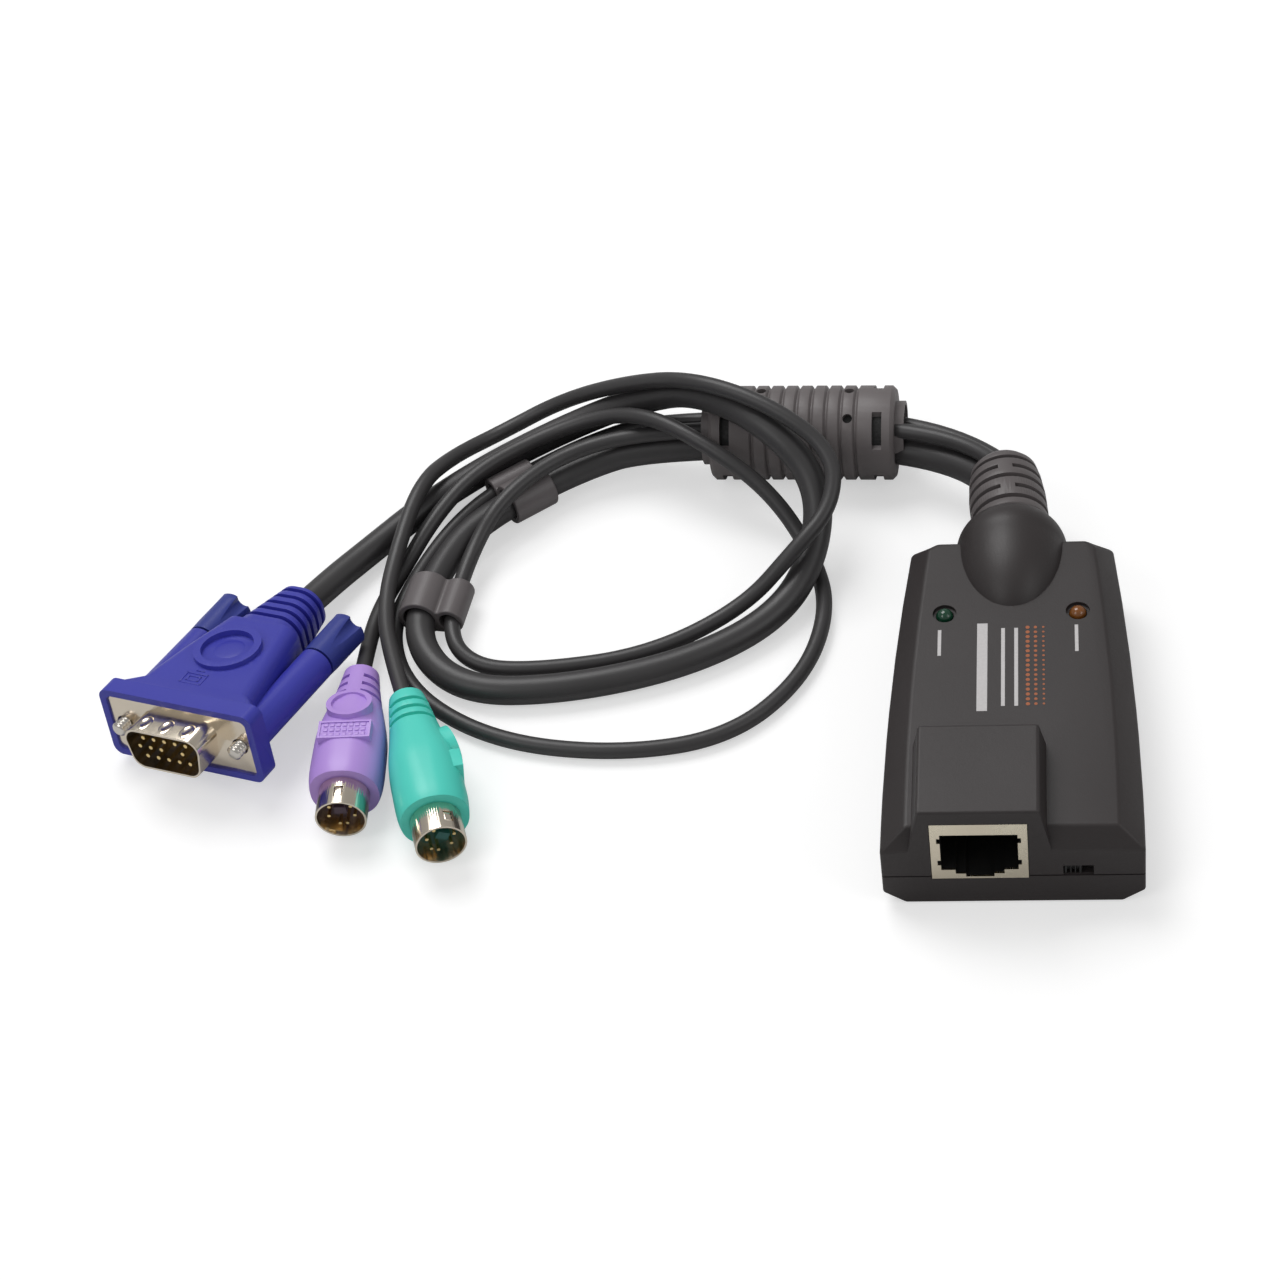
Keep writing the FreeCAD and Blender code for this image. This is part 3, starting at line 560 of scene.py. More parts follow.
# ---------- meshes
class Form:
    """Mesh under construction, shaped by bmesh operators."""

    def __init__(self) -> None:
        """Start empty."""
        self.mesh = bmesh.new()

    def box(self, low: Vector, high: Vector, round_by: float = 0.0, segments: int = 2) -> "Form":
        """Add a block.

        Args:
            low: Its lowest corner.
            high: Its highest corner.
            round_by: Width of the rounding of its edges, in metres.
            segments: Steps across the rounding.

        Returns:
            This form.
        """
        made = bmesh.ops.create_cube(self.mesh, size=1.0)["verts"]
        size = high - low
        bmesh.ops.scale(self.mesh, vec=size, verts=made)
        bmesh.ops.translate(self.mesh, vec=(low + high) / 2, verts=made)
        if round_by:
            edges = list({edge for vert in made for edge in vert.link_edges})
            bmesh.ops.bevel(self.mesh, geom=edges, offset=round_by, affect="EDGES", segments=segments,
                            profile=0.5, material=-1, clamp_overlap=True)
        return self

    def spun(self, profile: Sequence[Span], place: Matrix, steps: int = 48) -> "Form":
        """Add a turned shape.

        Args:
            profile: Radius and distance along the axis of each point, in millimetres.
            place: Where the axis lies; the axis is the local Y.
            steps: Divisions round the axis.

        Returns:
            This form.
        """
        before = set(self.mesh.verts)
        verts = [self.mesh.verts.new(mm(radius, reach, 0.0)) for radius, reach in profile]
        edges = [self.mesh.edges.new(pair) for pair in zip(verts, verts[1:])]
        bmesh.ops.spin(self.mesh, geom=verts + edges, cent=(0, 0, 0), axis=(0, 1, 0), dvec=(0, 0, 0),
                       angle=math.tau, steps=steps, use_merge=True)
        grown = [vert for vert in self.mesh.verts if vert not in before]
        bmesh.ops.remove_doubles(self.mesh, verts=grown, dist=MERGE_DISTANCE)
        bmesh.ops.transform(self.mesh, matrix=place, verts=[vert for vert in grown if vert.is_valid])
        return self

    def prism(self, outline: Sequence[Vector], push: Vector) -> "Form":
        """Add a flat outline pushed into a solid.

        Args:
            outline: Its corners in order.
            push: Way from the outline to the far face.

        Returns:
            This form.
        """
        face = self.mesh.faces.new([self.mesh.verts.new(point) for point in outline])
        made = bmesh.ops.extrude_face_region(self.mesh, geom=[face])["geom"]
        moved = [item for item in made if isinstance(item, bmesh.types.BMVert)]
        bmesh.ops.translate(self.mesh, vec=push, verts=moved)
        return self

    def placed(self, place: Matrix) -> "Form":
        """Move the whole form."""
        bmesh.ops.transform(self.mesh, matrix=place, verts=self.mesh.verts[:])
        return self

    def object(self, name: str, smooth_angle: float = 35.0) -> Piece:
        """Finish the mesh, with its normals outwards, as a piece of the scene.

        Args:
            name: Name of the piece.
            smooth_angle: Steepest smooth edge, in degrees.

        Returns:
            The piece.
        """
        bmesh.ops.remove_doubles(self.mesh, verts=self.mesh.verts[:], dist=MERGE_DISTANCE)
        bmesh.ops.recalc_face_normals(self.mesh, faces=self.mesh.faces[:])
        data = bpy.data.meshes.new(name)
        self.mesh.to_mesh(data)
        self.mesh.free()
        return link_piece(name, data, smooth_angle)


def link_piece(name: str, data: bpy.types.Mesh, smooth_angle: float) -> Piece:
    """Put a mesh in the scene, smooth except at edges sharper than the angle in degrees.

    Edges of the mesh that were made sharp before stay sharp.

    Args:
        name: Name of the piece.
        data: Its mesh.
        smooth_angle: Steepest smooth edge, in degrees.

    Returns:
        The piece.
    """
    joins = [edge.index for edge in data.edges if edge.use_edge_sharp]
    data.shade_smooth()
    data.set_sharp_from_angle(angle=math.radians(smooth_angle))
    for index in joins:
        data.edges[index].use_edge_sharp = True
    piece = bpy.data.objects.new(name, data)
    bpy.context.scene.collection.objects.link(piece)
    return piece


# ---------- the workshop
class Workshop:
    """Frame, finishes and the calls that every sub-assembly shares."""

    merge: float = 2e-6
    flat_angle: float = 0.6
    bevel_angle: float = 28.0

    def __init__(self, frame: dict) -> None:
        """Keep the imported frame."""
        self.frame = frame
        self.dresser = Dresser()

    def settle(self, piece: Piece, finish: Finishes, body: str = "root",
               stands_for: Iterable[str] = ()) -> Piece:
        """Dress a piece, let it ride on its body and say what it stands for.

        Args:
            piece: The finished piece.
            finish: What it wears.
            body: The body it moves with.
            stands_for: Nodes that it replaces.

        Returns:
            The piece.
        """
        self.dresser.wear(piece, finish)
        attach(piece, body)
        if stands_for:
            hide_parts(*stands_for)
        LOG.info("piece %s on %s wears %s", piece.name, body, finish.name)
        return piece

    def keep(self, node: str, finish: Finishes) -> Piece:
        """Dress a node whose own shape is already right.

        Args:
            node: Name of the node.
            finish: What it wears.

        Returns:
            The node's object.
        """
        LOG.info("node %s wears %s", node, finish.name)
        return self.dresser.wear(self.frame["nodes"][node], finish)

    def softened(self, node: str, finish: Finishes, edge: float, body: str = "root",
                 segments: int = 2, merge_flats: bool = True,
                 reshape: Optional[Callable[[Shape], None]] = None,
                 crease: float = 28.0) -> Piece:
        """Copy a node and round its sharp edges, as a moulding tool leaves them.

        Args:
            node: The node to copy and stand for.
            finish: What the copy wears.
            edge: Width of the rounding, in metres; nought where reshape rounds the edges itself.
            body: The body it moves with.
            segments: Steps across the rounding.
            merge_flats: Whether flat faces become one face each; ring-shaped faces must stay split.
            reshape: Further change to the copy's mesh before its edges are rounded.
            crease: Edges sharper than this, in degrees, are shaded sharp.

        Returns:
            The piece.
        """
        shape = bmesh.new()
        shape.from_mesh(self.frame["nodes"][node].data)
        bmesh.ops.remove_doubles(shape, verts=shape.verts[:], dist=self.merge)
        if merge_flats:
            bmesh.ops.dissolve_limit(shape, angle_limit=math.radians(self.flat_angle), verts=shape.verts[:],
                                     edges=shape.edges[:], delimit={"NORMAL"})
        if reshape:
            reshape(shape)
        data = bpy.data.meshes.new(node + "_soft")
        shape.to_mesh(data)
        shape.free()
        piece = link_piece(node + "_soft", data, crease)
        if not edge:
            return self.settle(piece, finish, body, [node])
        soften = piece.modifiers.new("soft_edges", "BEVEL")
        soften.width = edge
        soften.segments = segments
        soften.limit_method = "ANGLE"
        soften.angle_limit = math.radians(self.bevel_angle)
        soften.harden_normals = True
        soften.use_clamp_overlap = True
        return self.settle(piece, finish, body, [node])


# ---------- studio
@dataclass(frozen=True)
class Lamp:
    """Square soft lamp."""

    name: str
    place: Point
    size: float
    watts: float

    def light(self, target: Point) -> None:
        """Put the lamp in the scene.

        Args:
            target: Where it is aimed.
        """
        data = bpy.data.lights.new(self.name, "AREA")
        data.size = self.size
        data.energy = self.watts
        lamp = bpy.data.objects.new(self.name, data)
        lamp.location = self.place
        lamp.rotation_euler = (Vector(target) - Vector(self.place)).to_track_quat("-Z", "Y").to_euler()
        bpy.context.scene.collection.objects.link(lamp)


@dataclass
class Studio:
    """Camera, lamps, floor and surroundings."""

    eye: Point = (0.0121, -0.3969, 0.4320)
    aim: Point = (-0.0681, 0.0167, 0.0)
    roll: float = 9.06
    lens: float = 92.67
    film_width: float = 36.0
    near_clip: float = 0.01
    lamp_target: Point = (-0.06, 0.0, 0.0)
    lamps: Sequence[Lamp] = (
        Lamp("key", (-0.35, 0.45, 0.9), 0.6, 5.6),
        Lamp("front_left", (-0.6, -0.5, 0.8), 0.5, 1.5),
        Lamp("right", (0.75, -0.3, 0.6), 0.5, 1.2))
    floor_half: float = 1.6
    floor_drop: float = 0.0002
    floor_grey: float = 0.62
    floor_lift: float = 0.52
    surround: float = 0.33

    def set_up(self) -> None:
        """Put the whole studio in place."""
        self.camera()
        self.floor()
        for lamp in self.lamps:
            lamp.light(self.lamp_target)
        self.surroundings()

    def camera(self) -> None:
        """Camera that looks down on the object from in front."""
        data = bpy.data.cameras.new("camera")
        data.lens = self.lens
        data.sensor_width = self.film_width
        data.clip_start = self.near_clip
        camera = bpy.data.objects.new("camera", data)
        ahead = (Vector(self.aim) - Vector(self.eye)).normalized()
        right = ahead.cross(Vector((0, 0, 1))).normalized()
        up = right.cross(ahead)
        turn = Matrix.Rotation(math.radians(self.roll), 4, ahead)
        basis = Matrix((right, up, -ahead)).transposed().to_4x4()
        camera.matrix_world = Matrix.Translation(Vector(self.eye)) @ turn @ basis
        bpy.context.scene.collection.objects.link(camera)
        bpy.context.scene.camera = camera

    def floor(self) -> None:
        """Pale table top under everything, lifted to white where the camera sees it directly."""
        shape = bmesh.new()
        bmesh.ops.create_grid(shape, x_segments=1, y_segments=1, size=self.floor_half)
        data = bpy.data.meshes.new("table")
        shape.to_mesh(data)
        shape.free()
        table = bpy.data.objects.new("table", data)
        table.location = (0, 0, -self.floor_drop)
        bpy.context.scene.collection.objects.link(table)
        graph = Graph("table_white")
        seen = graph.node("ShaderNodeLightPath", {}, out="Is Camera Ray")
        grey, lift = (self.floor_grey,) * 3, (self.floor_lift,) * 3
        graph.set(Base_Color=(*grey, 1.0), Roughness=0.8, Specular_IOR_Level=0.1)
        graph.set(Emission_Color=graph.mix(seen, (0.0, 0.0, 0.0), lift), Emission_Strength=1.0)
        data.materials.append(graph.material)

    def surroundings(self) -> None:
        """Even white surroundings, at full white where the camera sees them directly."""
        world = bpy.data.worlds.new("surroundings")
        bpy.context.scene.world = world
        world.use_nodes = True
        tree = world.node_tree
        background = tree.nodes["Background"]
        background.inputs["Color"].default_value = (1.0, 1.0, 1.0, 1.0)
        seen = tree.nodes.new("ShaderNodeLightPath")
        strength = tree.nodes.new("ShaderNodeMapRange")
        strength.inputs["To Min"].default_value = self.surround
        strength.inputs["To Max"].default_value = 1.0
        tree.links.new(seen.outputs["Is Camera Ray"], strength.inputs["Value"])
        tree.links.new(strength.outputs["Result"], background.inputs["Strength"])
        bpy.context.scene.view_settings.view_transform = "Standard"


# ---------- cords
@dataclass
class Cord:
    """One round cord that leaves the module and ends in its plug."""

    name: str
    diameter: float
    route: Sequence[Point]
    far_end: str
    goes_with: Sequence[Piece]
    length: float
    round_steps: int = 8
    length_steps: int = 16

    def make(self, shop: Workshop) -> Piece:
        """Lay the cord as one smooth curve through its route.

        Args:
            shop: The workshop.

        Returns:
            The curve.
        """
        curve = bpy.data.curves.new(self.name + "_jacket", "CURVE")
        curve.dimensions = "3D"
        curve.bevel_depth = self.diameter / 2
        curve.bevel_resolution = self.round_steps
        curve.resolution_u = self.length_steps
        curve.use_fill_caps = True
        spline = curve.splines.new("NURBS")
        spline.points.add(len(self.route) - 1)
        for point, place in zip(spline.points, self.route):
            point.co = (*mm(*place), 1.0)
        spline.order_u = 3
        spline.use_endpoint_u = True
        piece = bpy.data.objects.new(self.name + "_jacket", curve)
        bpy.context.scene.collection.objects.link(piece)
        shop.settle(piece, Finishes.CORD, stands_for=[self.name])
        return piece


VIDEO_ROUTE: list[Point] = [
    (-4.2, 43.7, 11.8), (-13, 59.6, 6.9), (-68.5, 61.6, 6.9), (-83, 58.8, 3.9), (-100.7, 45.3, 3.9),
    (-107, 32.3, 3.9), (-109.8, 14.4, 3.9), (-99.6, 2.1, 2.8), (-80, 2, 2.8), (-58, 8.1, 2.8),
    (-42.5, 18.8, 3.2), (-36, 31.8, 6), (-35.3, 43.3, 13.5), (-44.5, 51, 21.2), (-58.5, 61.6, 20.7),
    (-71, 68.4, 12.6), (-85, 69.9, 5), (-100, 61.8, 2.8), (-112, 50.3, 2.8), (-121, 38.8, 2.8),
    (-127.5, 29.3, 3.7), (-131.9, 21, 4.8)]
KEYBOARD_ROUTE: list[Point] = [
    (0.9, 43.7, 13.8), (-10.5, 63.4, 10), (-66, 65.7, 9.9), (-80, 67.9, 3.2), (-93, 59.3, 2.8),
    (-104, 49.3, 2.2), (-111.4, 33.9, 1.6), (-115, 17.8, 1.6), (-108.5, 2.3, 1.6), (-92, -9.2, 1.6),
    (-70, -12.7, 1.6), (-50, -9.2, 1.6), (-37.5, 4.8, 1.6), (-33.5, 21.8, 1.6), (-37, 36.3, 1.6),
    (-45, 45.8, 9.3), (-57, 52.3, 15.6), (-68, 59.8, 16.2), (-78, 65.6, 11.2), (-90, 64.3, 7.5),
    (-102, 55.6, 7), (-109.2, 45.8, 4.6), (-114.3, 34.8, 1.6), (-117.6, 24, 1.6), (-118.2, 13.5, 2.4),
    (-117.1, -0.2, 6.5)]
MOUSE_ROUTE: list[Point] = [
    (-2.6, 43.7, 16.1), (-10.5, 58.9, 12.2), (-65, 61, 11.5), (-83.5, 58.3, 9.6), (-95.5, 45.8, 9.5),
    (-101.5, 34.8, 4.2), (-103.5, 15.8, 3.9), (-98, 9, 1.8), (-86, 8, 1.6), (-66, 11.3, 1.6),
    (-49, 21.3, 3.2), (-39.5, 27.8, 11), (-32.5, 35.8, 14.5), (-32.3, 44.8, 19.6), (-44, 51.8, 25.4),
    (-59, 59.2, 25.8), (-72.5, 67.9, 17.4), (-87, 75.1, 7), (-99.5, 71.4, 2.2), (-107.5, 62, 5),
    (-111.8, 50.3, 9.2), (-115, 36.3, 5.6), (-115.8, 22.8, 4.9), (-113.2, 10, 5.4), (-107.4, -5.9, 6.9)]


@dataclass
class Lead:
    """The three cords with their choke and clips, in metres."""

    shop: Workshop
    video_diameter: float = 5.4 * MM
    thin_diameter: float = 3.0 * MM
    video_length: float = 0.3765
    keyboard_length: float = 0.4254
    mouse_length: float = 0.3969

    def make(self, video: Sequence[Piece], keyboard: Sequence[Piece],
             mouse: Sequence[Piece]) -> None:
        """Dress what grips the cords, then lay them.

        Args:
            video: Pieces of the video plug.
            keyboard: Pieces of the keyboard plug.
            mouse: Pieces of the mouse plug.
        """
        shop = self.shop
        grips = [shop.softened("choke_moulding", Finishes.CHOKE, 0.18 * MM, merge_flats=False),
                 shop.keep("ferrite_core", Finishes.FERRITE),
                 shop.softened("clip_front", Finishes.CLIP, 0.5 * MM, segments=3, merge_flats=False),
                 shop.softened("clip_middle", Finishes.CLIP, 0.5 * MM, segments=3, merge_flats=False)]
        thin = self.thin_diameter
        Cord("video_cord", self.video_diameter, VIDEO_ROUTE, "connector", [*grips, *video],
             self.video_length).make(shop)
        Cord("keyboard_cord", thin, KEYBOARD_ROUTE, "plug", keyboard, self.keyboard_length).make(shop)
        Cord("mouse_cord", thin, MOUSE_ROUTE, "plug", mouse, self.mouse_length).make(shop)


# ---------- module
@dataclass
class Print:
    """Blank printed fields and the dot field on the top face, with y from the module's front."""

    shop: Workshop
    front: float = -45.7
    face: float = 17.0
    sunk: float = 0.01
    thickness: float = 0.03
    fields: Sequence[tuple[Span, Span]] = (
        ((-5.9, -4.1), (27.8, 48.4)), ((-1.75, -1.1), (28.9, 47.2)), ((0.5, 1.15), (28.9, 47.2)),
        ((-12.7, -12.1), (40.9, 47.0)), ((10.9, 11.5), (41.4, 47.7)))
    dot_span: Span = (29.3, 47.3)
    dot_rows: int = 17
    dot_columns: Sequence[Span] = ((2.8, 0.36), (4.15, 0.29), (5.5, 0.21))

    def make(self) -> None:
        """Print the blank fields and the dots."""
        fields = Form()
        for x, y in self.fields:
            self.field(fields, x, y)
        self.shop.settle(fields.object("printed_fields"), Finishes.WHITE_INK)
        dots = Form()
        start, end = self.dot_span
        for x, radius in self.dot_columns:
            for row in range(self.dot_rows):
                self.dot(dots, x, start + row * (end - start) / (self.dot_rows - 1), radius)
        self.shop.settle(dots.object("printed_dots"), Finishes.ORANGE_INK)

    def field(self, form: Form, x: Span, y: Span) -> None:
        """Add one blank field.

        Args:
            form: Where it goes.
            x: Its left and right ends.
            y: Its near and far ends.
        """
        low = mm(x[0], y[0] + self.front, self.face - self.sunk)
        high = mm(x[1], y[1] + self.front, self.face + self.thickness)
        form.box(low, high)

    def dot(self, form: Form, x: float, y: float, radius: float) -> None:
        """Add one round dot.

        Args:
            form: Where it goes.
            x: Its middle across the module.
            y: Its middle along the module.
            radius: Its radius, in millimetres.
        """
        height = self.thickness + self.sunk
        place = Matrix.Translation(mm(x, y + self.front, self.face - self.sunk))
        made = bmesh.ops.create_cone(form.mesh, cap_ends=True, segments=16, radius1=radius * MM,
                                     radius2=radius * MM, depth=height * MM, matrix=place)
        bmesh.ops.translate(form.mesh, vec=mm(0, 0, height / 2), verts=made["verts"])


@dataclass
class Socket:
    """Network socket: plated face and black insert, both laid in courses round one opening.

    A course has its lowest and highest level, and the half width of the opening at that level.
    """

    shop: Workshop
    middle: float = -5.4
    front: float = -45.7
    half_width: float = 8.0
    levels: Span = (6.3, 19.9)
    sheet: float = 0.35
    fold: float = 0.3
    depth: float = 17.4
    insert_gap: float = 0.35
    insert_depths: Sequence[float] = (0.36, 13.6, 17.0)
    courses: Sequence[Point] = (
        (6.3, 6.75, 0.0), (6.75, 7.5, 2.35), (7.5, 8.5, 4.05), (8.5, 9.7, 6.4), (9.7, 10.9, 6.95),
        (10.9, 15.2, 6.4), (15.2, 16.4, 6.95), (16.4, 17.3, 6.4), (17.3, 19.9, 0.0))

    def make(self) -> None:
        """Build the face with its folded sides, then the insert behind it."""
        floor, roof = self.levels
        face = Form()
        self.lay(face, (0.0, self.sheet), self.half_width, roof)
        behind = (self.sheet, self.depth)
        inner = self.half_width - self.fold
        self.block(face, (-self.half_width, -inner), behind, self.levels)
        self.block(face, (inner, self.half_width), behind, self.levels)
        self.block(face, (-inner, inner), behind, (roof - self.fold, roof))
        self.shop.settle(face.object("socket_face"), Finishes.JACK_METAL, stands_for=["rj45_shield"])
        insert = Form()
        near, wall, far = self.insert_depths
        half, top = self.half_width - self.insert_gap, roof - self.insert_gap
        self.lay(insert, (near, wall), half, top)
        self.block(insert, (-half, half), (wall, far), (floor, top))
        self.shop.settle(insert.object("socket_insert"), Finishes.JACK_PLASTIC, stands_for=["rj45_insert"])

    def lay(self, form: Form, y: Span, half_width: float, top: float) -> None:
        """Lay the courses on both sides of the opening.

        Args:
            form: Where the blocks go.
            y: Front and back of the courses, from the module's front face.
            half_width: Outer half width.
            top: Height at which the highest course ends.
        """
        for low, high, opening in self.courses:
            z = (low, min(high, top))
            if not opening:
                self.block(form, (-half_width, half_width), y, z)
                continue
            self.block(form, (-half_width, -opening), y, z)
            self.block(form, (opening, half_width), y, z)

    def block(self, form: Form, x: Span, y: Span, z: Span) -> None:
        """Add one block.

        Args:
            form: Where it goes.
            x: Its ends across, from the socket's middle.
            y: Its ends along, from the module's front face.
            z: Its lowest and highest level.
        """
        low, high = (mm(self.middle + x[end], self.front + y[end], z[end]) for end in (0, 1))
        form.box(low, high)


@dataclass
class Module:
    """Case, strain relief, socket, switch, lamps and what is on the board, in millimetres."""

    shop: Workshop
    block_top: float = 23.0
    crown: float = 17.0
    belt_top: float = 13.1
    seam: float = 7.0
    seam_gap: float = 0.3
    belt_low: float = 2.7
    block_rounding: float = 0.5
    rounding: float = 0.45
    rounding_steps: int = 4
    crease: float = 11.0
    sharp_from: float = 14.0
    flat_from: float = 0.9999
    surface_reach: float = 0.02
    level_reach: float = 0.03
    slope_from: float = 0.05
    boss_half: float = 9.8
    boss_field: Span = (12.0, 8.0)
    hole_reach: float = 3.6
    hole_sites: Sequence[Span] = ((-11.6, 5.3), (11.5, 5.4), (-12.0, 14.8), (12.0, 14.8))
    plain_nodes: Sequence[tuple[str, Finishes]] = (
        ("rj45_contacts", Finishes.GOLD), ("switch_frame", Finishes.TIN),
        ("indicator_left", Finishes.GREEN_LENS), ("indicator_right", Finishes.AMBER_LENS),
        ("indicator_leads", Finishes.TIN), ("circuit_board", Finishes.BOARD),
        ("main_chip", Finishes.CHIP), ("second_chip", Finishes.CHIP), ("crystal", Finishes.TIN),
        ("capacitors", Finishes.CAPACITOR), ("cable_header", Finishes.HEADER),
        ("housing_screws", Finishes.SCREW))

    def make(self) -> None:
        """Dress every part of the module."""
        shop = self.shop
        shop.softened("top_shell", Finishes.CASE, 0.0, reshape=self.round_top, crease=self.crease)
        shop.softened("bottom_shell", Finishes.CASE, 0.0, reshape=self.round_bottom, crease=self.crease)
        shop.softened("strain_relief", Finishes.RELIEF, 0.22 * MM, merge_flats=False)
        Socket(shop).make()
        shop.softened("switch_slider", Finishes.SWITCH, 0.08 * MM, body="slider")
        for node, finish in self.plain_nodes:
            shop.keep(node, finish)
        Print(shop).make()

    def round_top(self, shape: Shape) -> None:
        """Round the raised block and the outer creases of the upper shell.

        Args:
            shape: Mesh of the upper shell.
        """
        level = (self.block_top - self.surface_reach) * MM
        block = [edge for edge in self.outer_edges(shape) if max(vert.co.z for vert in edge.verts) > level]
        self.round_off(shape, block, self.block_rounding)
        self.round_off(shape, self.creases(shape, (self.crown, self.belt_top), (self.seam,)), self.rounding)
        self.part_boss(shape)

    def part_boss(self, shape: Shape) -> None:
        """Keep the flat crown's shading apart from that of the cord boss, which rises out of it.

        Args:
            shape: Mesh of the upper shell.
        """
        shape.normal_update()
        half_width, near_end = self.boss_field
        for edge in shape.edges:
            middle = (edge.verts[0].co + edge.verts[1].co) / 2 / MM
            on_crown = abs(middle.z - self.crown) < self.surface_reach
            flats = sum(face.normal.z > self.flat_from for face in edge.link_faces)
            if on_crown and flats == 1 and abs(middle.x) < half_width and middle.y > near_end:
                edge.smooth = False

    def round_bottom(self, shape: Shape) -> None:
        """Round the outer creases of the lower shell."""
        rims = (self.seam, self.seam - self.seam_gap)
        self.round_off(shape, self.creases(shape, (0.0, self.belt_low), rims), self.rounding)

    def outer_edges(self, shape: Shape) -> list[Edge]:
        """Convex edges of a mesh that are sharp enough to be moulded with a radius."""
        return [edge for edge in shape.edges if len(edge.link_faces) == 2 and edge.is_convex
                and edge.calc_face_angle(0.0) > math.radians(self.sharp_from)]

    def creases(self, shape: Shape, levels: Sequence[float],
                rims: Sequence[float]) -> list[Edge]:
        """Outer creases of a shell.

        Args:
            shape: Mesh of the shell.
            levels: Heights at which level creases lie.
            rims: Heights at which rising creases may also end.

        Returns:
            The edges, without those of holes and of the cord boss.
        """
        found = []
        for edge in self.outer_edges(shape):
            heights = [vert.co.z / MM for vert in edge.verts]
            is_level = abs(heights[0] - heights[1]) < self.slope_from
            allowed = levels if is_level else (*levels, *rims)
            if not all(any(abs(height - one) < self.level_reach for one in allowed) for height in heights):
                continue
            middle = (edge.verts[0].co + edge.verts[1].co) / 2 / MM
            at_boss = abs(middle.x) < self.boss_half and middle.y > 0
            at_hole = any(math.dist(middle.xy, site) < self.hole_reach for site in self.hole_sites)
            if not at_boss and not at_hole:
                found.append(edge)
        return found

    def round_off(self, shape: Shape, edges: Sequence[Edge], width: float) -> None:
        """Round edges by a width in millimetres."""
        bmesh.ops.bevel(shape, geom=list(edges), offset=width * MM, affect="EDGES",
                        segments=self.rounding_steps, profile=0.5, material=-1, clamp_overlap=False)


# ---------- plugs
@dataclass(frozen=True)
class Seat:
    """Where a plug lies: its origin in millimetres and its turns in degrees."""

    origin: Point
    yaw: float
    pitch: float = 0.0
    roll: float = 0.0

    def matrix(self) -> Matrix:
        """Place the plug's own frame, in which it mates towards -Y, in the scene.

        Returns:
            The matrix from that frame to the scene.
        """
        place = Matrix.Translation(mm(*self.origin))
        for degrees, axis in ((self.yaw, "Z"), (self.pitch, "X"), (self.roll, "Y")):
            place = place @ Matrix.Rotation(math.radians(degrees), 4, axis)
        return place


UPRIGHT = Matrix.Rotation(math.radians(90), 4, "X")
MARK_ROUNDING = 0.06 * MM


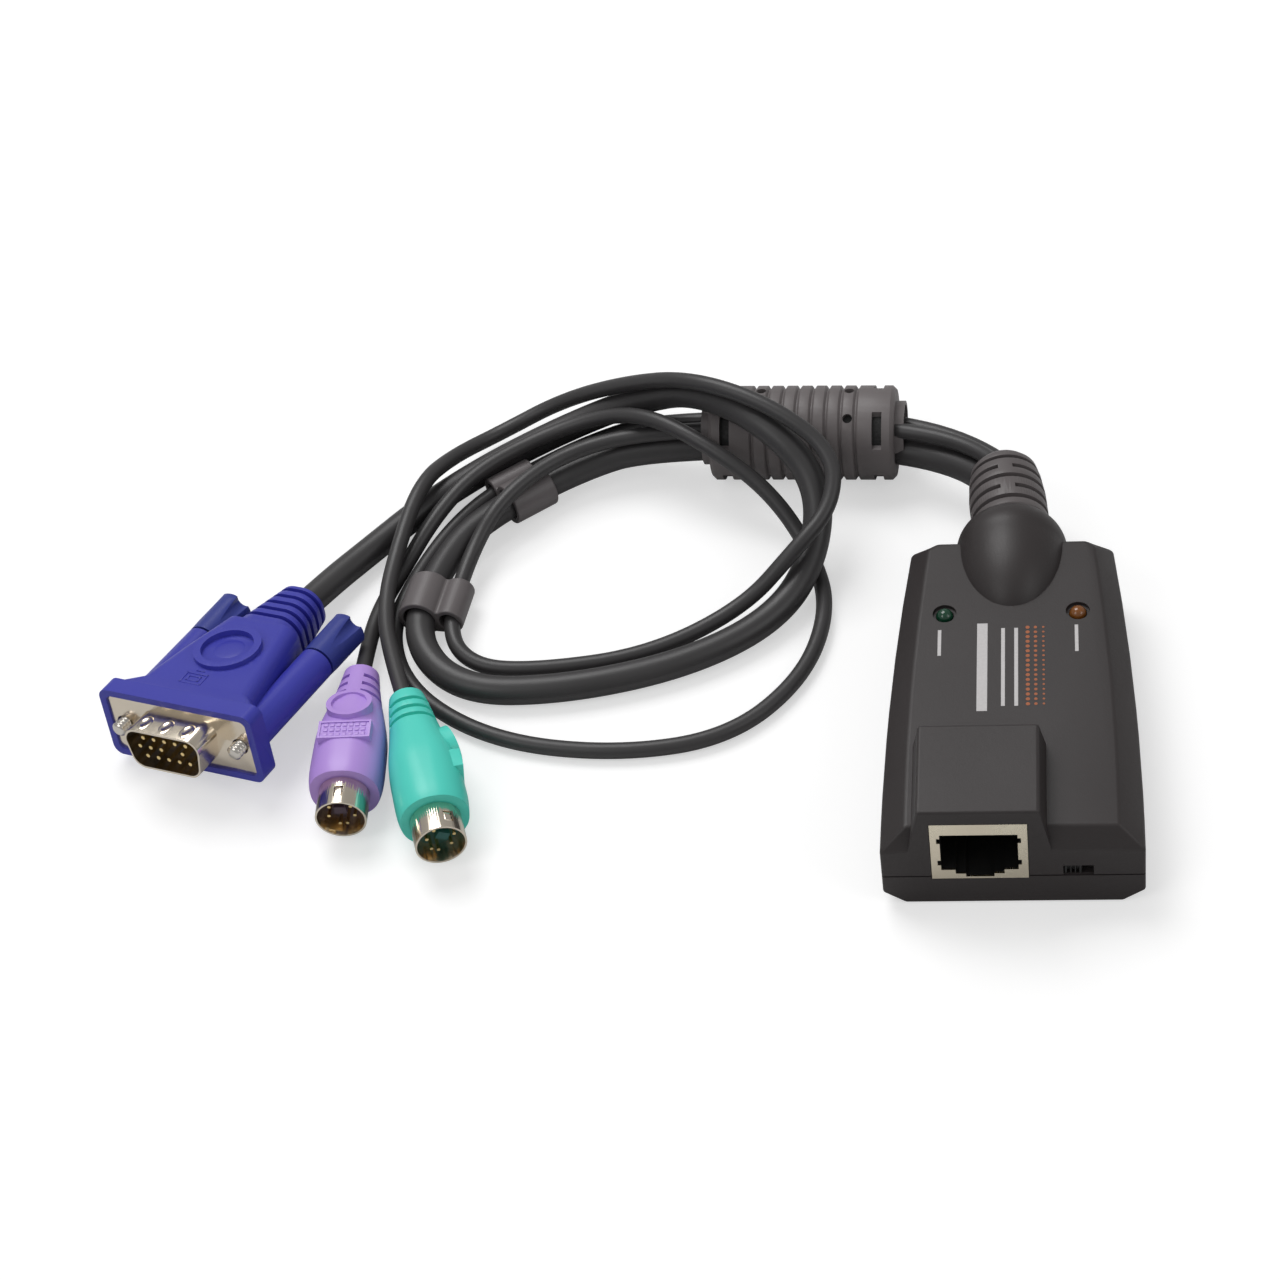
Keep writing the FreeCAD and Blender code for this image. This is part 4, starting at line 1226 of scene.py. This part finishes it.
@dataclass
class VideoPlug:
    """Hood, shell, pins and thumbscrews of the video connector, in millimetres."""

    shop: Workshop
    seat: Seat = Seat((-146.4, -14.7, 10.9), -22.0, -9.0, -7.0)
    half_pitch: float = 12.495
    thread_radius: float = 1.42
    thread_depth: float = 0.38
    thread_pitch: float = 0.75
    thread_span: Span = (-2.4, 3.0)
    thread_lead: float = 0.1
    crest_span: Span = (0.34, 0.42)
    tip_share: float = 0.86
    rod_end: float = 33.0
    ring: Point = (0.0, 17.6, 6.0)
    dish_profile: Sequence[Span] = ((0.0, 0.35), (1.6, 0.33), (2.6, 0.22), (3.3, 0.04), (3.6, -0.05))
    screen_middle: Span = (-1.2, 8.1)
    screen_halves: Sequence[Span] = ((2.3, 1.55), (1.35, 0.75))
    screen_levels: Span = (6.2, 6.5)
    screen_line: float = 0.3
    stand: Span = (0.9, 10.3)
    dimple_sites: Sequence[Point] = ((-4.5, -3.4, 4.17), (0.0, -3.4, 4.17), (4.5, -3.4, 4.17))
    dimple_stretch: Point = (0.95, 1.45, 1.0)
    dimple_profile: Sequence[Span] = (
        (0.0, 0.02), (0.6, 0.03), (0.82, 0.13), (1.0, 0.16), (1.2, 0.1), (1.35, 0.0))

    def make(self) -> list[Piece]:
        """Dress the video connector.

        Returns:
            Its pieces.
        """
        shop = self.shop
        pieces = [shop.softened("video_hood", Finishes.BLUE, 0.4 * MM, segments=3, merge_flats=False),
                  shop.softened("video_shell", Finishes.NICKEL, 0.18 * MM, segments=3, merge_flats=False),
                  shop.keep("video_insulator", Finishes.INSULATOR),
                  shop.keep("video_pins", Finishes.GOLD),
                  self.dish(), self.screen(), self.dimples()]
        for side, name in ((-1, "left"), (1, "right")):
            body = "screw_" + name
            pieces.append(shop.softened("thumbscrew_" + name, Finishes.BLUE_DEEP, 0.3 * MM, body=body,
                                        merge_flats=False))
            pieces.append(self.threaded(side, name, body))
        return pieces

    def threaded(self, side: int, name: str, body: str) -> Piece:
        """Make a screw rod with a turned thread where it shows beyond the flange.

        Args:
            side: Minus one for the left rod, one for the right.
            name: Left or right, as in the node's name.
            body: The body it moves with.

        Returns:
            The rod.
        """
        crest, root = self.thread_radius, self.thread_radius - self.thread_depth
        start, end = self.thread_span
        profile = [(0.0, start), (root * self.tip_share, start)]
        for turn in range(round((end - start - 2 * self.thread_lead) / self.thread_pitch)):
            y = start + self.thread_lead + turn * self.thread_pitch
            profile += [(root, y), (crest, y + self.crest_span[0]), (crest, y + self.crest_span[1])]
        profile += [(crest, end), (crest, self.rod_end), (0.0, self.rod_end)]
        place = self.seat.matrix() @ Matrix.Translation(mm(side * self.half_pitch, 0, 0))
        rod = Form().spun(profile, place, 32).object("screw_rod_" + name + "_thread", 60.0)
        return self.shop.settle(rod, Finishes.THREAD, body, ["screw_rod_" + name])

    def dish(self) -> Piece:
        """Make the soft rise in the bottom of the thumb ring.

        Returns:
            The rise.
        """
        place = self.seat.matrix() @ Matrix.Translation(mm(*self.ring)) @ UPRIGHT
        rise = Form().spun(self.dish_profile, place)
        return self.shop.settle(rise.object("hood_dish"), Finishes.BLUE)

    def screen(self) -> Piece:
        """Make the raised outline of a plain screen on a stand, in front of the thumb ring.

        Returns:
            The outline.
        """
        form = Form()
        low, high = self.screen_levels
        x, y = self.screen_middle
        line = self.screen_line
        for half_x, half_y in self.screen_halves:
            for side in (-1, 1):
                across = sorted((side * half_x, side * (half_x - line)))
                ahead = sorted((side * half_y, side * (half_y - line)))
                form.box(mm(across[0], y - half_y, low), mm(across[1], y + half_y, high), MARK_ROUNDING)
                form.box(mm(-half_x, y + ahead[0], low), mm(half_x, y + ahead[1], high), MARK_ROUNDING)
        half_stand, stand_y = self.stand
        form.box(mm(-half_stand, stand_y, low), mm(half_stand, stand_y + line, high), MARK_ROUNDING)
        form.placed(self.seat.matrix() @ Matrix.Translation(mm(x, 0, 0)))
        return self.shop.settle(form.object("hood_screen_mark"), Finishes.BLUE)

    def dimples(self) -> Piece:
        """Make the three long pressed ribs on top of the drawn shell.

        Returns:
            The ribs, as one piece.
        """
        form = Form()
        stretch = Matrix.Diagonal((*self.dimple_stretch, 1.0))
        for site in self.dimple_sites:
            place = self.seat.matrix() @ Matrix.Translation(mm(*site)) @ stretch @ UPRIGHT
            form.spun(self.dimple_profile, place, 40)
        return self.shop.settle(form.object("shell_dimples", 60.0), Finishes.NICKEL)


@dataclass
class RoundPlug:
    """Boot, can, insulator and pins of one round plug, in millimetres."""

    shop: Workshop
    name: str
    boot: Finishes
    insert: Finishes
    seat: Seat
    grip_turn: float = 0.0
    latch_corners: tuple[Point, Point] = ((-0.72, 1.68, 3.9), (0.72, 3.72, 4.42))
    latch_rounding: float = 0.25
    mark_levels: Span = (6.2, 6.42)
    key_count: tuple[int, int] = (7, 3)
    key_pitch: Span = (1.12, 1.1)
    key_half: Span = (0.4, 0.38)
    key_row: float = 14.3
    mouse_half: Span = (1.9, 1.3)
    mouse_middle: float = 15.4
    mouse_steps: int = 24
    tail_end: float = 3.6
    tail_half: float = 0.15

    def grip_seat(self) -> Matrix:
        """Matrix of the grip, which may be turned round the plug's axis."""
        return self.seat.matrix() @ Matrix.Rotation(math.radians(self.grip_turn), 4, "Y")

    def turn_grip(self, shape: Shape) -> None:
        """Turn the copied grip round the plug's own axis."""
        turn = self.grip_seat() @ self.seat.matrix().inverted()
        bmesh.ops.transform(shape, matrix=turn, verts=shape.verts[:])

    def latch(self) -> Piece:
        """Make the pressed pad that fills the notch on top of the can.

        Returns:
            The pad.
        """
        low, high = self.latch_corners
        form = Form().box(mm(*low), mm(*high), self.latch_rounding * MM, 3)
        form.placed(self.seat.matrix())
        return self.shop.settle(form.object(self.name + "_latch"), Finishes.NICKEL)

    def make(self) -> list[Piece]:
        """Dress one round plug.

        Returns:
            Its pieces.
        """
        shop = self.shop
        return [shop.softened(self.name + "_boot", self.boot, 0.3 * MM, segments=3, merge_flats=False,
                              reshape=self.turn_grip),
                self.latch(),
                shop.softened(self.name + "_can", Finishes.NICKEL, 0.1 * MM, merge_flats=False),
                shop.keep(self.name + "_insulator", self.insert),
                shop.keep(self.name + "_pins", Finishes.GOLD),
                self.marks()]

    def marks(self) -> Piece:
        """Make the raised marks on the panel: rows of keys, or the outline of a mouse.

        Returns:
            The marks, as one piece.
        """
        form = Form()
        if self.name == "keyboard":
            self.keys(form)
        else:
            self.mouse(form)
        form.placed(self.grip_seat())
        return self.shop.settle(form.object(self.name + "_marks"), self.boot)

    def keys(self, form: Form) -> None:
        """Add rows of square keys.

        Args:
            form: Where they go.
        """
        low, high = self.mark_levels
        half_x, half_y = self.key_half
        columns, rows = self.key_count
        for row in range(rows):
            for column in range(columns):
                x = (column - columns // 2) * self.key_pitch[0]
                y = self.key_row + row * self.key_pitch[1]
                form.box(mm(x - half_x, y - half_y, low), mm(x + half_x, y + half_y, high), MARK_ROUNDING)

    def mouse(self, form: Form) -> None:
        """Add an oval body with a tail.

        Args:
            form: Where it goes.
        """
        low, high = self.mark_levels
        half_x, half_y = self.mouse_half
        middle, steps = self.mouse_middle, self.mouse_steps
        outline = [mm(half_x * math.cos(turn), middle + half_y * math.sin(turn), low)
                   for turn in (math.tau * step / steps for step in range(steps))]
        form.prism(outline, mm(0, 0, high - low))
        form.box(mm(half_x, middle - self.tail_half, low), mm(self.tail_end, middle + self.tail_half, high),
                 MARK_ROUNDING)


def main() -> None:
    """Build the studio, the module, the plugs and the lead."""
    logging.basicConfig(level=logging.INFO, format="%(name)s: %(message)s")
    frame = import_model()
    shop = Workshop(frame)
    Studio().set_up()
    Module(shop).make()
    video = VideoPlug(shop).make()
    keyboard_seat = Seat((-116.1, -31.2, 6.5), 1.6)
    mouse_seat = Seat((-97.5, -37.6, 6.9), 17.0, roll=30.0)
    keyboard = RoundPlug(shop, "keyboard", Finishes.PURPLE, Finishes.VIOLET, keyboard_seat).make()
    mouse = RoundPlug(shop, "mouse", Finishes.GREEN, Finishes.TEAL, mouse_seat, 66.0).make()
    Lead(shop).make(video, keyboard, mouse)


if __name__ == "__main__":
    main()
